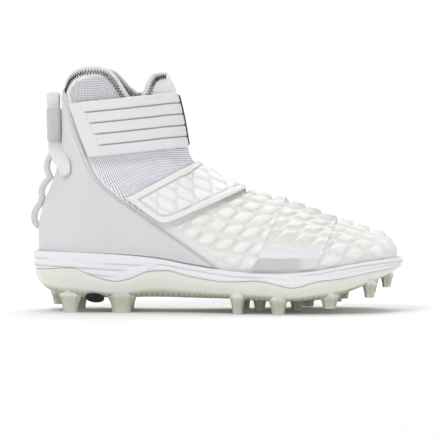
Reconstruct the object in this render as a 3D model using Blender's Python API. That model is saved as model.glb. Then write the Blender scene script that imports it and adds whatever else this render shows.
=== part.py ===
"""Right football cleat: high knitted bootie, three straps, cupped midsole and studded plate.

Metres. +X is the toe, -Y the outer side of the foot and +Z up. The stud tips stand on z = 0.
"""

import math

import bpy
import numpy as np

# Driving sizes, in metres
LENGTH = 0.300
BALL_WIDTH = 0.106
STUD_HEIGHT = 0.012
SOLE_DEPTH = 0.037
UPPER_RISE = 0.148
SHAFT_WIDTH = 0.069

# Walls and thicknesses
WALL = 0.0022
RIM_WALL = 0.005
PLATE_WALL = 0.004
INSOLE_THICKNESS = 0.004
QUARTER_THICKNESS = 0.0015
ELASTIC_THICKNESS = 0.0013
COVER_THICKNESS = 0.0024
GROOVE_DEPTH = 0.0011
QUILT_THICKNESS = 0.0026
BAND_THICKNESS = 0.0008
PATCH_THICKNESS = 0.0010
CORD_RADIUS = 0.0016
WEBBING_WIDTH = 0.0094
WEBBING_THICKNESS = 0.0026
SLEEVE_WALL = 0.0008
PLUG_LENGTH = 0.0155
PLUG_WIDTH = 0.0092
PLUG_THICKNESS = 0.0030

# Clearance between pieces that touch, and between a curved overlay and the flat facets under it
FIT = 0.0003
LAY = 0.0007
QUARTER_LAY = 0.0010
STRAP_LAY = 0.0018

# Rounded ends, seen from above
HEEL_ROUND = 0.036
TOE_ROUND = 0.066
SHAFT_HEEL_ROUND = 0.034
SHAFT_FRONT_ROUND = 0.048
ARCH_POWER = 2.3

# The shaft takes over from the foot between these heights above the sole's rim
SHAFT_FROM = 0.010
SHAFT_TO = 0.075
BULGE = 0.0038
BULGE_HEIGHT = 0.016
RIDGE_LEAN = 0.006

# Mesh steps
STATIONS = 24
UPPER_RINGS = 19

RIM_HEIGHT = STUD_HEIGHT + SOLE_DEPTH


class Table:
    """Rows of named columns, read between the rows by a curve that never overshoots."""

    def __init__(self, names, *rows):
        self.names = names.split()
        self.columns = dict(zip(self.names, np.array(rows, float).T))

    def at(self, name, where):
        keys = self.columns[self.names[0]]
        values = self.columns[name]
        steps = np.diff(keys)
        slopes = np.diff(values) / steps
        product = slopes[:-1] * slopes[1:]
        total = np.where(product > 0, slopes[:-1] + slopes[1:], 1.0)
        turns = np.where(product > 0, 2 * product / total, 0.0)
        tangents = np.concatenate([slopes[:1], turns, slopes[-1:]])
        where = np.clip(where, keys[0], keys[-1])
        i = np.clip(np.searchsorted(keys, where) - 1, 0, len(steps) - 1)
        f = (where - keys[i]) / steps[i]
        start = values[i] * (1 + 2 * f) * (1 - f) ** 2 + tangents[i] * steps[i] * f * (1 - f) ** 2
        end = values[i + 1] * f * f * (3 - 2 * f) - tangents[i + 1] * steps[i] * f * f * (1 - f)
        return start + end


# Sole stations from heel to toe. Along is a share of LENGTH, centre and half of BALL_WIDTH,
# and the heights are shares of SOLE_DEPTH above the underside of the plate at the heel.
SOLE = Table(
    "along centre half    top  border under footbed",
    (0.00, 0.000, 0.340, 1.00, 0.60, 0.26, 0.68),
    (0.04, 0.000, 0.340, 1.00, 0.62, 0.10, 0.68),
    (0.11, 0.000, 0.342, 0.99, 0.65, 0.00, 0.69),
    (0.17, -0.003, 0.342, 0.97, 0.48, 0.00, 0.66),
    (0.23, -0.008, 0.338, 0.94, 0.36, 0.00, 0.64),
    (0.27, -0.016, 0.332, 0.92, 0.42, 0.01, 0.63),
    (0.32, -0.026, 0.322, 0.88, 0.58, 0.02, 0.64),
    (0.37, -0.038, 0.318, 0.82, 0.60, 0.02, 0.65),
    (0.42, -0.048, 0.328, 0.74, 0.49, 0.01, 0.58),
    (0.53, -0.058, 0.385, 0.61, 0.37, 0.00, 0.46),
    (0.61, -0.046, 0.435, 0.56, 0.40, -0.04, 0.46),
    (0.66, -0.032, 0.467, 0.56, 0.32, -0.05, 0.44),
    (0.70, -0.018, 0.480, 0.57, 0.25, -0.05, 0.43),
    (0.77, 0.014, 0.486, 0.62, 0.39, -0.02, 0.46),
    (0.83, 0.045, 0.478, 0.70, 0.44, 0.06, 0.53),
    (0.91, 0.085, 0.452, 0.79, 0.56, 0.26, 0.64),
    (0.97, 0.108, 0.430, 0.83, 0.63, 0.46, 0.71),
    (1.00, 0.115, 0.425, 0.84, 0.65, 0.55, 0.72),
)

# Front line of the upper from the toe up to the collar: shares of UPPER_RISE and of LENGTH
RIDGE = Table(
    "rise along",
    (-0.060, 0.981),
    (0.000, 0.984),
    (0.045, 0.972),
    (0.075, 0.952),
    (0.095, 0.920),
    (0.124, 0.873),
    (0.158, 0.820),
    (0.202, 0.767),
    (0.256, 0.690),
    (0.290, 0.623),
    (0.320, 0.573),
    (0.378, 0.517),
    (0.437, 0.467),
    (0.474, 0.440),
    (0.521, 0.424),
    (0.595, 0.415),
    (0.669, 0.409),
    (0.764, 0.400),
    (0.851, 0.389),
    (0.915, 0.378),
    (0.955, 0.366),
    (1.047, 0.335),
)

# Back line of the upper
HEEL = Table(
    "rise along",
    (-0.040, 0.0220),
    (0.130, 0.0215),
    (0.190, 0.0270),
    (0.270, 0.0380),
    (0.345, 0.0540),
    (0.415, 0.0670),
    (0.490, 0.0765),
    (0.585, 0.0840),
    (0.715, 0.0860),
    (0.825, 0.0850),
    (1.000, 0.0770),
)

# Collar height round one side, from the heel (0) to the front (1): shares of UPPER_RISE
COLLAR = Table(
    "turn rise",
    (0.00, 0.855),
    (0.09, 0.895),
    (0.16, 0.945),
    (0.24, 0.978),
    (0.32, 0.995),
    (0.40, 0.998),
    (0.46, 0.988),
    (0.52, 0.945),
    (0.58, 0.865),
    (0.63, 0.815),
    (0.67, 0.815),
    (0.71, 0.860),
    (0.75, 0.930),
    (0.79, 0.962),
    (0.86, 0.972),
    (1.00, 0.974),
)

# Front edge of the heel quarter from the collar down to the midsole
QUARTER_EDGE = Table(
    "down along rise",
    (0.00, 0.088, 0.885),
    (0.12, 0.105, 0.790),
    (0.24, 0.122, 0.680),
    (0.36, 0.146, 0.560),
    (0.46, 0.168, 0.450),
    (0.54, 0.194, 0.370),
    (0.62, 0.240, 0.290),
    (0.71, 0.305, 0.195),
    (0.80, 0.370, 0.105),
    (0.90, 0.440, 0.010),
    (1.00, 0.505, -0.075),
)

# On the inner side the quarter ends sooner, so that the midfoot strap comes down in front of it
INNER_QUARTER = 0.32 * LENGTH

# Studs: along is a share of LENGTH, across of BALL_WIDTH, long and wide of STUD_FOOT, and tip
# the share of STUD_HEIGHT that the tip stands above the floor.
STUD_FOOT = 0.010
STUDS = (
    ("along", "across", "long", "wide", "tip"),
    (0.067, 0.00, 0.95, 1.10, 0.42),
    (0.107, -0.24, 1.35, 0.80, 0.00),
    (0.112, 0.24, 1.35, 0.80, 0.00),
    (0.245, -0.25, 1.75, 0.80, 0.00),
    (0.240, 0.22, 1.75, 0.80, 0.00),
    (0.557, -0.37, 0.95, 1.00, 0.00),
    (0.568, 0.25, 0.95, 1.00, 0.00),
    (0.665, -0.40, 1.20, 0.95, 0.00),
    (0.655, 0.33, 1.15, 0.95, 0.00),
    (0.613, -0.08, 0.95, 0.95, 0.02),
    (0.713, -0.06, 1.00, 0.95, 0.02),
    (0.742, 0.37, 1.05, 0.95, 0.06),
    (0.800, -0.34, 1.20, 0.95, 0.36),
    (0.822, 0.05, 0.80, 0.95, 0.60),
    (0.838, 0.37, 0.95, 0.95, 0.62),
    (0.907, -0.19, 0.90, 0.95, 1.02),
    (0.915, 0.29, 0.90, 0.95, 1.10),
    (0.955, 0.06, 0.80, 0.95, 1.58),
)

WHITE = (0.86, 0.87, 0.88)
KNIT_WHITE = (0.84, 0.84, 0.81)
SYNTHETIC = (0.74, 0.75, 0.77)
GREY = (0.62, 0.63, 0.65)
BLACK = (0.02, 0.02, 0.022)
PLATE_CREAM = (0.72, 0.74, 0.64)


def rounded(share, power=2.2):
    """0 at the tip, 1 from share 1 on, like the quarter of an oval."""
    return (1 - (1 - np.clip(share, 0, 1)) ** power) ** (1 / power)


def smoothstep(share):
    share = np.clip(share, 0, 1)
    return share * share * (3 - 2 * share)


def sole_height(name, x):
    """Height of a named line of the sole at a distance from the heel."""
    return STUD_HEIGHT + SOLE_DEPTH * SOLE.at(name, x / LENGTH)


def rise_of(z):
    return (z - RIM_HEIGHT) / UPPER_RISE


def height_of(rise):
    return RIM_HEIGHT + UPPER_RISE * rise


RIDGE_RISES = np.linspace(-0.06, 1.047, 400)
RIDGE_ALONG = RIDGE.at("along", RIDGE_RISES) * LENGTH


def front_x(z):
    return np.interp(rise_of(z), RIDGE_RISES, RIDGE_ALONG)


def heel_x(z):
    return HEEL.at("along", rise_of(z)) * LENGTH


def ridge_z(x):
    """Height of the front line over a point of the length, rising steeply past the collar."""
    tip = np.argmax(RIDGE_ALONG)
    rise = np.interp(x, RIDGE_ALONG[tip:][::-1], RIDGE_RISES[tip:][::-1])
    return height_of(rise) + 6 * np.clip(RIDGE_ALONG[-1] - x, 0, None)


def upper_y(x, z, side):
    """The last: where the upper's outer face lies at a place of the side view, side -1 or 1."""
    rim = sole_height("top", x)
    over = z - rim
    shaft = smoothstep((z - RIM_HEIGHT - SHAFT_FROM) / (SHAFT_TO - SHAFT_FROM))
    foot = SOLE.at("half", x / LENGTH) * BALL_WIDTH - RIM_WALL - FIT
    foot = foot + BULGE * (1 - (1 - np.clip(over / BULGE_HEIGHT, 0, 1)) ** 2)
    half = foot * (1 - shaft) + SHAFT_WIDTH / 2 * shaft
    up = np.clip(over / np.maximum(ridge_z(x) - rim, 1e-6), 0, 1)
    arch = 1 - up**ARCH_POWER
    front = TOE_ROUND + (SHAFT_FRONT_ROUND - TOE_ROUND) * shaft
    plan = 1 - (1 - np.clip((front_x(z) - x) / front, 0, 1)) ** ARCH_POWER
    both = arch * plan / np.maximum(arch + plan - arch * plan, 1e-9)
    heel = HEEL_ROUND + (SHAFT_HEEL_ROUND - HEEL_ROUND) * shaft
    half = half * both ** (1 / ARCH_POWER) * rounded((x - heel_x(z)) / heel)
    centre = SOLE.at("centre", x / LENGTH) * BALL_WIDTH * (1 - shaft)
    lean = RIDGE_LEAN * smoothstep(up) * (1 - shaft) * smoothstep((x / LENGTH - 0.3) / 0.3)
    return centre + lean + side * half


def place(x, y, z):
    """Points in the part's frame, whose origin is under the middle of the length."""
    x, y, z = np.broadcast_arrays(x, y, z)
    return np.stack([x - LENGTH / 2, y, z], axis=-1)


def both_sides(count):
    """Steps round a closed ring from the heel by the outer side to the toe and back."""
    steps = np.arange(count + 1)
    turn = np.concatenate([steps, steps[-2:0:-1]]) / count
    side = np.concatenate([-np.ones(count + 1), np.ones(count - 1)])
    return turn, side


def material(name, colour, roughness, coat=0.0):
    made = bpy.data.materials.new(name)
    made.use_nodes = True
    shader = made.node_tree.nodes["Principled BSDF"]
    shader.inputs["Base Color"].default_value = (*colour, 1)
    shader.inputs["Roughness"].default_value = roughness
    shader.inputs["Coat Weight"].default_value = coat
    return made


def add_piece(name, points, faces, colour, roughness, coat=0.0):
    mesh = bpy.data.meshes.new(name)
    mesh.from_pydata([tuple(point) for point in np.asarray(points)], [], faces)
    mesh.update()
    mesh.materials.append(material(name, colour, roughness, coat))
    piece = bpy.data.objects.new(name, mesh)
    bpy.context.scene.collection.objects.link(piece)
    return piece


def band_faces(below, above, count):
    """Faces between two closed rings of a mesh, given their first points."""
    faces = []
    for i in range(count):
        after = (i + 1) % count
        faces.append((below + i, below + after, above + after, above + i))
    return faces


def cap_faces(first, count, up):
    """Faces across a closed ring, joining its two sides station by station."""
    faces = []
    half = count // 2
    for i in range(half):
        near, far = (count - i) % count, (count - i - 1) % count
        face = [first + i, first + i + 1, first + far, first + near]
        face = list(dict.fromkeys(face))
        faces.append(tuple(face if up else face[::-1]))
    return faces


def ring_solid(rings):
    """Points and faces of closed rings stacked from a bottom cap to a top cap."""
    count = len(rings[0])
    faces = cap_faces(0, count, False)
    for k in range(len(rings) - 1):
        faces += band_faces(k * count, (k + 1) * count, count)
    faces += cap_faces((len(rings) - 1) * count, count, True)
    return np.concatenate(rings), faces


def ring_tube(rings):
    """Points and faces of closed rings where the last meets the first, as round a wall."""
    count = len(rings[0])
    faces = []
    for k in range(len(rings)):
        faces += band_faces(k * count, (k + 1) % len(rings) * count, count)
    return np.concatenate(rings), faces


def unit(vectors):
    return vectors / np.maximum(np.linalg.norm(vectors, axis=-1, keepdims=True), 1e-12)


def plan_normals(ring):
    """Outward normals of a closed ring, seen from above."""
    along = np.roll(ring, -1, axis=0) - np.roll(ring, 1, axis=0)
    return unit(np.stack([along[:, 1], -along[:, 0], np.zeros(len(ring))], axis=1))


def pushed(ring, distance):
    return ring + plan_normals(ring) * distance


def at_height(ring, height):
    """The ring with its heights replaced by a number or by one number for each point."""
    moved = ring.copy()
    moved[:, 2] = height
    return moved


def sole_outline():
    turn, side = both_sides(STATIONS)
    x = LENGTH * (1 - np.cos(math.pi * turn)) / 2
    ends = rounded(x / HEEL_ROUND) * rounded((LENGTH - x) / TOE_ROUND, ARCH_POWER)
    half = SOLE.at("half", x / LENGTH) * BALL_WIDTH * ends
    y = SOLE.at("centre", x / LENGTH) * BALL_WIDTH + side * half
    return place(x, y, 0.0), x


def ring_line(level, turn):
    """Side view of one ring of the upper: level 0 is the sole's rim and 1 the collar."""
    sweep = (1 - np.cos(math.pi * turn)) / 2
    front = np.stack([RIDGE_ALONG, height_of(RIDGE_RISES)], axis=1)
    start = np.argmax(front[:, 1] > sole_height("top", 0.98 * LENGTH))
    end = np.argmax(RIDGE_RISES > COLLAR.at("rise", 1.0))
    front = front[start:end]
    steps = np.concatenate([[0], np.cumsum(np.linalg.norm(np.diff(front, axis=0), axis=1))])
    front_z = np.interp(level * steps[-1], steps, front[:, 1])
    low, high = sole_height("top", 0.0), height_of(COLLAR.at("rise", 0.0))
    back_z = low + (high - low) * level
    x = heel_x(back_z) + (front_x(front_z) - heel_x(back_z)) * sweep
    drop = 1 - (1 - sweep) ** 2
    rim = sole_height("top", x)
    rim_sag = rim - (rim[0] + (sole_height("top", front_x(front_z)) - rim[0]) * drop)
    collar = height_of(COLLAR.at("rise", turn))
    collar_ends = collar[0] + (height_of(COLLAR.at("rise", 1.0)) - collar[0]) * drop
    z = back_z + (front_z - back_z) * drop
    z = z + rim_sag * (1 - smoothstep(level / 0.6))
    z = z + (collar - collar_ends) * smoothstep((level - 0.7) / 0.3)
    return x, z


def upper_rings(count, stations):
    turn, side = both_sides(stations)
    rings = []
    for level in np.linspace(0, 1, count + 1):
        x, z = ring_line(level, turn)
        rings.append(place(x, upper_y(x, z, side), z))
    return rings


def grid_normals(grid, closed):
    """Normals of a grid of points, rows by columns, with the columns going round or open."""
    rows = np.gradient(grid, axis=0)
    if closed:
        columns = np.roll(grid, -1, axis=1) - np.roll(grid, 1, axis=1)
    else:
        columns = np.gradient(grid, axis=1)
    return unit(np.cross(columns, rows))


def foot_ring():
    """The ring where the upper leaves the midsole's cup."""
    turn, side = both_sides(STATIONS)
    x, z = ring_line(0.0, turn)
    return place(x, upper_y(x, z, side), z), x


def make_upper():
    grid = np.stack(upper_rings(UPPER_RINGS, STATIONS))
    inner = grid - grid_normals(grid, True) * WALL
    foot, x = foot_ring()
    footbed = sole_height("footbed", x) + FIT
    skirt = at_height(foot, footbed)
    inner[0] = pushed(foot, -WALL)
    lining = at_height(inner[0], footbed)
    rings = [skirt, *grid, *inner[::-1], lining]
    return add_piece("upper", *ring_tube(rings), KNIT_WHITE, 0.8)


def make_midsole():
    outline, along = sole_outline()
    top = sole_height("top", along)
    border = sole_height("border", along)
    floor = sole_height("under", along) + PLATE_WALL
    border = np.maximum(border, floor + 0.002)
    depth = top - border
    foot, foot_x = foot_ring()
    cup = pushed(foot, FIT)
    rings = [
        at_height(pushed(outline, -2 * PLATE_WALL - 0.0012 - 3 * FIT), floor + 2 * FIT),
        at_height(pushed(outline, -2 * PLATE_WALL - 4 * FIT), floor + 0.0012 + 3 * FIT),
        at_height(pushed(outline, -PLATE_WALL - 0.0012 - 3 * FIT), border + FIT),
        at_height(pushed(outline, -0.0012), border + FIT),
        at_height(pushed(outline, -0.0002), border + depth * 0.22),
        at_height(pushed(outline, -0.0007), border + depth * 0.45),
        at_height(pushed(outline, 0.0), border + depth * 0.62),
        at_height(pushed(outline, -0.0003), border + depth * 0.88),
        at_height(pushed(outline, -0.0018), top - 0.0004),
        at_height(cup, sole_height("top", foot_x) - 0.0002),
        at_height(cup, sole_height("footbed", foot_x)),
    ]
    return add_piece("midsole", *ring_solid(rings), WHITE, 0.45)


def make_insole():
    foot, x = foot_ring()
    edge = pushed(foot, -WALL - FIT)
    bed = sole_height("footbed", x) + FIT
    rings = [
        at_height(edge, bed),
        at_height(edge, bed + INSOLE_THICKNESS * 0.8),
        at_height(pushed(edge, -0.001), bed + INSOLE_THICKNESS),
    ]
    return add_piece("insole", *ring_solid(rings), GREY, 0.9)


# Lower edge of the plate's flank: how far in from the outline, and its share of the flank
EDGE_IN = 0.0065
EDGE_UP = 0.10


def plate_rings():
    outline, along = sole_outline()
    border = sole_height("border", along)
    under = sole_height("under", along)
    floor = under + PLATE_WALL
    border = np.maximum(border, floor + 0.002)
    side = border - under
    return [
        at_height(pushed(outline, -0.011), under),
        at_height(pushed(outline, -EDGE_IN), under + side * EDGE_UP),
        at_height(pushed(outline, -0.0035), under + side * 0.38),
        at_height(pushed(outline, -0.0012), under + side * 0.80),
        at_height(pushed(outline, -0.0015), border),
        at_height(pushed(outline, -PLATE_WALL - 0.0012), border),
        at_height(pushed(outline, -2 * PLATE_WALL), floor + 0.0012),
        at_height(pushed(outline, -2 * PLATE_WALL - 0.0012), floor),
    ]


def stud_points(x, y, size_long, size_wide, tip, root):
    """A tapered eight-sided stud with a flat tip, from the floor up into the plate."""
    levels = (
        (tip, 0.74, 0.62),
        (tip + (root - tip) * 0.60, 0.92, 0.90),
        (root + PLATE_WALL * 0.6, 1.45, 1.50),
    )
    corners = ((-1, -0.45), (-0.6, -1), (0.6, -1), (1, -0.45), (1, 0.45), (0.6, 1), (-0.6, 1), (-1, 0.45))
    points = []
    for height, long_share, wide_share in levels:
        for across, aside in corners:
            step = np.array([size_long * long_share * across, size_wide * wide_share * aside]) / 2
            points.append(place(x + step[0], y + step[1], height))
    return points, len(corners), len(levels)


def make_studs():
    """All studs as one helper mesh, which the plate takes in with a Boolean."""
    points, faces = [], []
    for row in STUDS[1:]:
        stud = dict(zip(STUDS[0], row))
        x = stud["along"] * LENGTH
        root = sole_height("under", x)
        first = len(points)
        made, count, levels = stud_points(
            x,
            stud["across"] * BALL_WIDTH,
            stud["long"] * STUD_FOOT,
            stud["wide"] * STUD_FOOT,
            stud["tip"] * STUD_HEIGHT,
            root,
        )
        points += made
        faces.append(tuple(first + i for i in reversed(range(count))))
        for k in range(levels - 1):
            faces += band_faces(first + k * count, first + (k + 1) * count, count)
        faces.append(tuple(first + (levels - 1) * count + i for i in range(count)))
    studs = add_piece("studs_helper", points, faces, PLATE_CREAM, 0.3)
    studs.hide_render = True
    studs.hide_viewport = True
    return studs


def make_plate():
    plate = add_piece("outsole_plate", *ring_solid(plate_rings()), PLATE_CREAM, 0.3, 0.5)
    union = plate.modifiers.new("studs", "BOOLEAN")
    union.operation = "UNION"
    union.solver = "EXACT"
    union.object = make_studs()
    return plate


def sheet(grid, low, high):
    """A thin solid over a grid of surface points, low to high above it along the normals.

    Either height can be a number or one number for each point of the grid.
    """
    normals = grid_normals(grid, False)
    low = np.broadcast_to(low, grid.shape[:2])[..., None]
    high = np.broadcast_to(high, grid.shape[:2])[..., None]
    points = np.concatenate([(grid + normals * high).reshape(-1, 3), (grid + normals * low).reshape(-1, 3)])
    rows, columns = grid.shape[:2]
    below = rows * columns
    faces = []
    for r in range(rows - 1):
        for c in range(columns - 1):
            a = r * columns + c
            faces.append((a, a + 1, a + columns + 1, a + columns))
            faces.append((below + a, below + a + columns, below + a + columns + 1, below + a + 1))
    edge = [c for c in range(columns)]
    edge += [r * columns + columns - 1 for r in range(1, rows)]
    edge += [(rows - 1) * columns + c for c in reversed(range(columns - 1))]
    edge += [r * columns for r in reversed(range(1, rows - 1))]
    for i, a in enumerate(edge):
        b = edge[(i + 1) % len(edge)]
        faces.append((b, a, below + a, below + b))
    return points, faces


def facing_out(grid):
    """The grid with its rows turned round where its normals would point into the shoe."""
    normals = grid_normals(grid, False)
    middle = grid.mean(axis=(0, 1))
    middle[1] = 0.0
    outward = ((grid - middle) * normals).sum()
    return grid if outward > 0 else grid[::-1]


def quarter_grid(rows, columns):
    share = np.linspace(-1, 1, columns)
    side = np.where(share < 0, -1.0, 1.0)
    lines = []
    for down in np.linspace(0, 1, rows):
        edge_x = QUARTER_EDGE.at("along", down) * LENGTH
        edge_z = height_of(QUARTER_EDGE.at("rise", down))
        back_top = height_of(COLLAR.at("rise", 0.0)) - 0.004
        back_low = sole_height("top", 0.0) + 0.001
        back_z = back_top + (back_low - back_top) * down
        sweep = 1 - np.cos(math.pi / 2 * np.abs(share))
        inner_x = min(edge_x, INNER_QUARTER + (edge_x - INNER_QUARTER) * 0.3)
        reach = np.where(side < 0, edge_x, inner_x)
        x = heel_x(back_z) + (reach - heel_x(back_z)) * sweep
        z = back_z + (edge_z - back_z) * sweep
        rim = sole_height("top", x) + 0.001
        ends = rim[columns // 2] + (rim[0] - rim[columns // 2]) * sweep
        z = np.maximum(z + (rim - ends) * down**2, rim)
        lines.append(place(x, upper_y(x, z, side), z))
    return np.stack(lines)


def make_quarter():
    grid = facing_out(quarter_grid(12, 25))
    solid = sheet(grid, QUARTER_LAY, QUARTER_LAY + QUARTER_THICKNESS)
    return add_piece("heel_quarter", *solid, SYNTHETIC, 0.4)


def wrap_grid(outer_ends, ridge_rises, inner_ends, columns, first=-1.0, last=1.0):
    """Rows that cross the front line of the upper, each from an outer end to an inner end.

    The ends are places of the side view, one for each row, and first and last cut the rows
    short: -1 is the outer end, 0 the front line and 1 the inner end.
    """
    share = np.linspace(first, last, columns)
    side = np.where(share < 0, -1.0, 1.0)
    sweep = 1 - np.cos(math.pi / 2 * np.abs(share))
    lines = []
    for outer, rise, inner in zip(outer_ends, ridge_rises, inner_ends):
        ridge = np.array([front_x(height_of(rise)), height_of(rise)])
        ends = np.where(share[:, None] < 0, outer, inner)
        spot = ridge + (ends - ridge) * sweep[:, None]
        lines.append(place(spot[:, 0], upper_y(spot[:, 0], spot[:, 1], side), spot[:, 1]))
    return np.stack(lines)


# Ankle strap, side view: its ends from the top edge to the bottom edge, as shares
STRAP_END = ((0.109, 0.805), (0.160, 0.508))
STRAP_RISES = (0.862, 0.562)
STRAP_INNER_END = ((0.140, 0.790), (0.170, 0.520))
STRAP_RIBS = 5
COVER_REACH = -0.15

# Midfoot strap
QUILT_END = ((0.258, 0.288), (0.364, 0.135))
QUILT_RISES = (0.478, 0.322)
QUILT_INNER_END = ((0.425, -0.040), (0.545, -0.088))

# Forefoot band
BAND_END = ((0.595, -0.094), (0.760, -0.086))
BAND_RISES = (0.262, 0.158)
BAND_INNER_END = ((0.600, -0.094), (0.760, -0.086))
PATCH_REACH = (-1.0, -0.80)


def ends_between(ends, shares):
    """Side-view places between a first and a last end, in metres."""
    first = np.array([ends[0][0] * LENGTH, height_of(ends[0][1])])
    last = np.array([ends[1][0] * LENGTH, height_of(ends[1][1])])
    return [first + (last - first) * share for share in shares]


def strap_grid(shares, columns, first=-1.0, last=1.0):
    rises = [STRAP_RISES[0] + (STRAP_RISES[1] - STRAP_RISES[0]) * share for share in shares]
    outer = ends_between(STRAP_END, shares)
    inner = ends_between(STRAP_INNER_END, shares)
    return wrap_grid(outer, rises, inner, columns, first, last)


def make_ankle_elastic():
    grid = facing_out(strap_grid(np.linspace(0.03, 0.97, 5), 27, -0.97, 1.0))
    solid = sheet(grid, LAY, LAY + ELASTIC_THICKNESS)
    return add_piece("ankle_elastic", *solid, BLACK, 0.85)


def make_ankle_cover():
    """Ribs side by side, parted by grooves that are steps in the cover's thickness."""
    rib = 1 / STRAP_RIBS
    cut = 0.10 * rib
    shares, deep = [], []
    for i in range(STRAP_RIBS):
        for share in (i * rib + cut, (i + 0.5) * rib, (i + 1) * rib - cut):
            shares.append(share)
            deep.append(0.0)
        if i < STRAP_RIBS - 1:
            shares.append((i + 1) * rib)
            deep.append(1.0)
    columns = 12
    grid = strap_grid(shares, columns, -1.0, COVER_REACH)
    base = LAY + ELASTIC_THICKNESS + LAY
    groove = np.repeat(np.array(deep)[:, None], columns, axis=1) * GROOVE_DEPTH
    groove[:, :2] = 0
    turned = facing_out(grid)
    if turned[0, 0, 2] != grid[0, 0, 2]:
        groove = groove[::-1]
    solid = sheet(turned, base, base + COVER_THICKNESS - groove)
    return add_piece("ankle_cover", *solid, WHITE, 0.5)


def quilt_grid(rows, columns):
    shares = np.linspace(0, 1, rows)
    rises = [QUILT_RISES[0] + (QUILT_RISES[1] - QUILT_RISES[0]) * share for share in shares]
    outer = ends_between(QUILT_END, shares)
    inner = ends_between(QUILT_INNER_END, shares)
    return wrap_grid(outer, rises, inner, columns)


def make_midfoot_strap():
    grid = facing_out(quilt_grid(6, 25))
    solid = sheet(grid, STRAP_LAY, STRAP_LAY + QUILT_THICKNESS)
    return add_piece("midfoot_strap", *solid, WHITE, 0.55)


def band_grid(rows, columns, first=-1.0, last=1.0):
    shares = np.linspace(0, 1, rows)
    rises = [BAND_RISES[0] + (BAND_RISES[1] - BAND_RISES[0]) * share for share in shares]
    outer = ends_between(BAND_END, shares)
    inner = ends_between(BAND_INNER_END, shares)
    return wrap_grid(outer, rises, inner, columns, first, last)


def make_forefoot_band():
    grid = facing_out(band_grid(5, 25))
    solid = sheet(grid, LAY, LAY + BAND_THICKNESS)
    return add_piece("forefoot_band", *solid, KNIT_WHITE, 0.45)


def make_side_patch():
    grid = facing_out(band_grid(7, 5, *PATCH_REACH))
    base = LAY + BAND_THICKNESS + FIT
    solid = sheet(grid, base, base + PATCH_THICKNESS)
    return add_piece("side_patch", *solid, GREY, 0.35)


def sweep(path, across, width, thickness, sides=8, closed=False):
    """A solid swept along a path, with an oval section whose width lies along across."""
    path = np.asarray(path)
    if closed:
        along = np.roll(path, -1, axis=0) - np.roll(path, 1, axis=0)
    else:
        along = np.gradient(path, axis=0)
    along = unit(along)
    across = np.broadcast_to(across, path.shape)
    across = unit(across - along * (across * along).sum(axis=1, keepdims=True))
    out = np.cross(along, across)
    points, faces = [], []
    for i, spot in enumerate(path):
        for k in range(sides):
            angle = 2 * math.pi * (k + 0.5) / sides
            wide = math.copysign(abs(math.cos(angle)) ** 0.7, math.cos(angle)) * width / 2
            thick = math.copysign(abs(math.sin(angle)) ** 0.7, math.sin(angle)) * thickness / 2
            points.append(spot + across[i] * wide + out[i] * thick)
    for i in range(len(path) - 1):
        faces += band_faces(i * sides, (i + 1) * sides, sides)
    faces.append(tuple(reversed(range(sides))))
    last = (len(path) - 1) * sides
    faces.append(tuple(last + k for k in range(sides)))
    return points, faces


def eased_path(rows, steps):
    """Points along a curve through the rows, each row any number of columns."""
    rows = np.array(rows, float)
    names = "step " + " ".join("c%d" % i for i in range(rows.shape[1]))
    curve = Table(names, *[(i, *row) for i, row in enumerate(rows)])
    where = np.linspace(0, len(rows) - 1, steps)
    return np.stack([curve.at("c%d" % i, where) for i in range(rows.shape[1])], axis=1)


def quarter_back(z):
    """How far from the heel's tip the back of the quarter lies, on the middle line."""
    return heel_x(z) - QUARTER_LAY - QUARTER_THICKNESS


# Pull loop: half of its route, from the seam on the side of the heel up to the top of the loop.
# Behind is the distance behind the quarter, aside a share of SHAFT_WIDTH, rise of UPPER_RISE,
# and turn the angle in degrees of its width away from the length.
PULL_LOOP = (
    ("behind", "aside", "rise", "turn"),
    (-0.0108, 0.450, 0.400, 30),
    (-0.0058, 0.420, 0.465, 26),
    (0.0020, 0.280, 0.520, 18),
    (0.0060, 0.100, 0.560, 4),
    (0.0070, 0.034, 0.590, 0),
    (0.0070, 0.034, 0.650, 0),
    (0.0070, 0.034, 0.720, 0),
    (0.0070, 0.034, 0.785, 0),
    (0.0070, 0.060, 0.815, 0),
    (0.0070, 0.050, 0.845, 0),
    (0.0070, 0.000, 0.860, 0),
)
SLEEVE_RISES = (0.600, 0.775)

# Heel cord: rows of an arc's top and foot, as shares of UPPER_RISE, and how far it stands off
HEEL_CORD = (
    ("top", "foot", "out"),
    (0.540, 0.420, 0.0058),
    (0.420, 0.275, 0.0028),
    (0.275, 0.150, 0.0014),
)


def make_pull_loop():
    rows = []
    for behind, aside, rise, turn in PULL_LOOP[1:]:
        z = height_of(rise)
        rows.append((quarter_back(z) - behind, -aside * SHAFT_WIDTH, z, math.radians(turn)))
    rows += [(x, -y, z, -turn) for x, y, z, turn in reversed(rows[:-1])]
    path = eased_path(rows, 41)
    across = np.stack([np.cos(path[:, 3]), -np.sin(path[:, 3]), 0 * path[:, 3]], axis=1)
    points = place(path[:, 0], path[:, 1], path[:, 2])
    return add_piece("pull_loop", *sweep(points, across, WEBBING_WIDTH, WEBBING_THICKNESS), WHITE, 0.85)


def oval_ring(x, y, z, long, wide, count=16):
    angle = 2 * math.pi * np.arange(count) / count
    square_cos = np.sign(np.cos(angle)) * np.abs(np.cos(angle)) ** 0.6
    square_sin = np.sign(np.sin(angle)) * np.abs(np.sin(angle)) ** 0.6
    return place(x + long / 2 * square_cos, y + wide / 2 * square_sin, z + 0 * angle)


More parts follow.
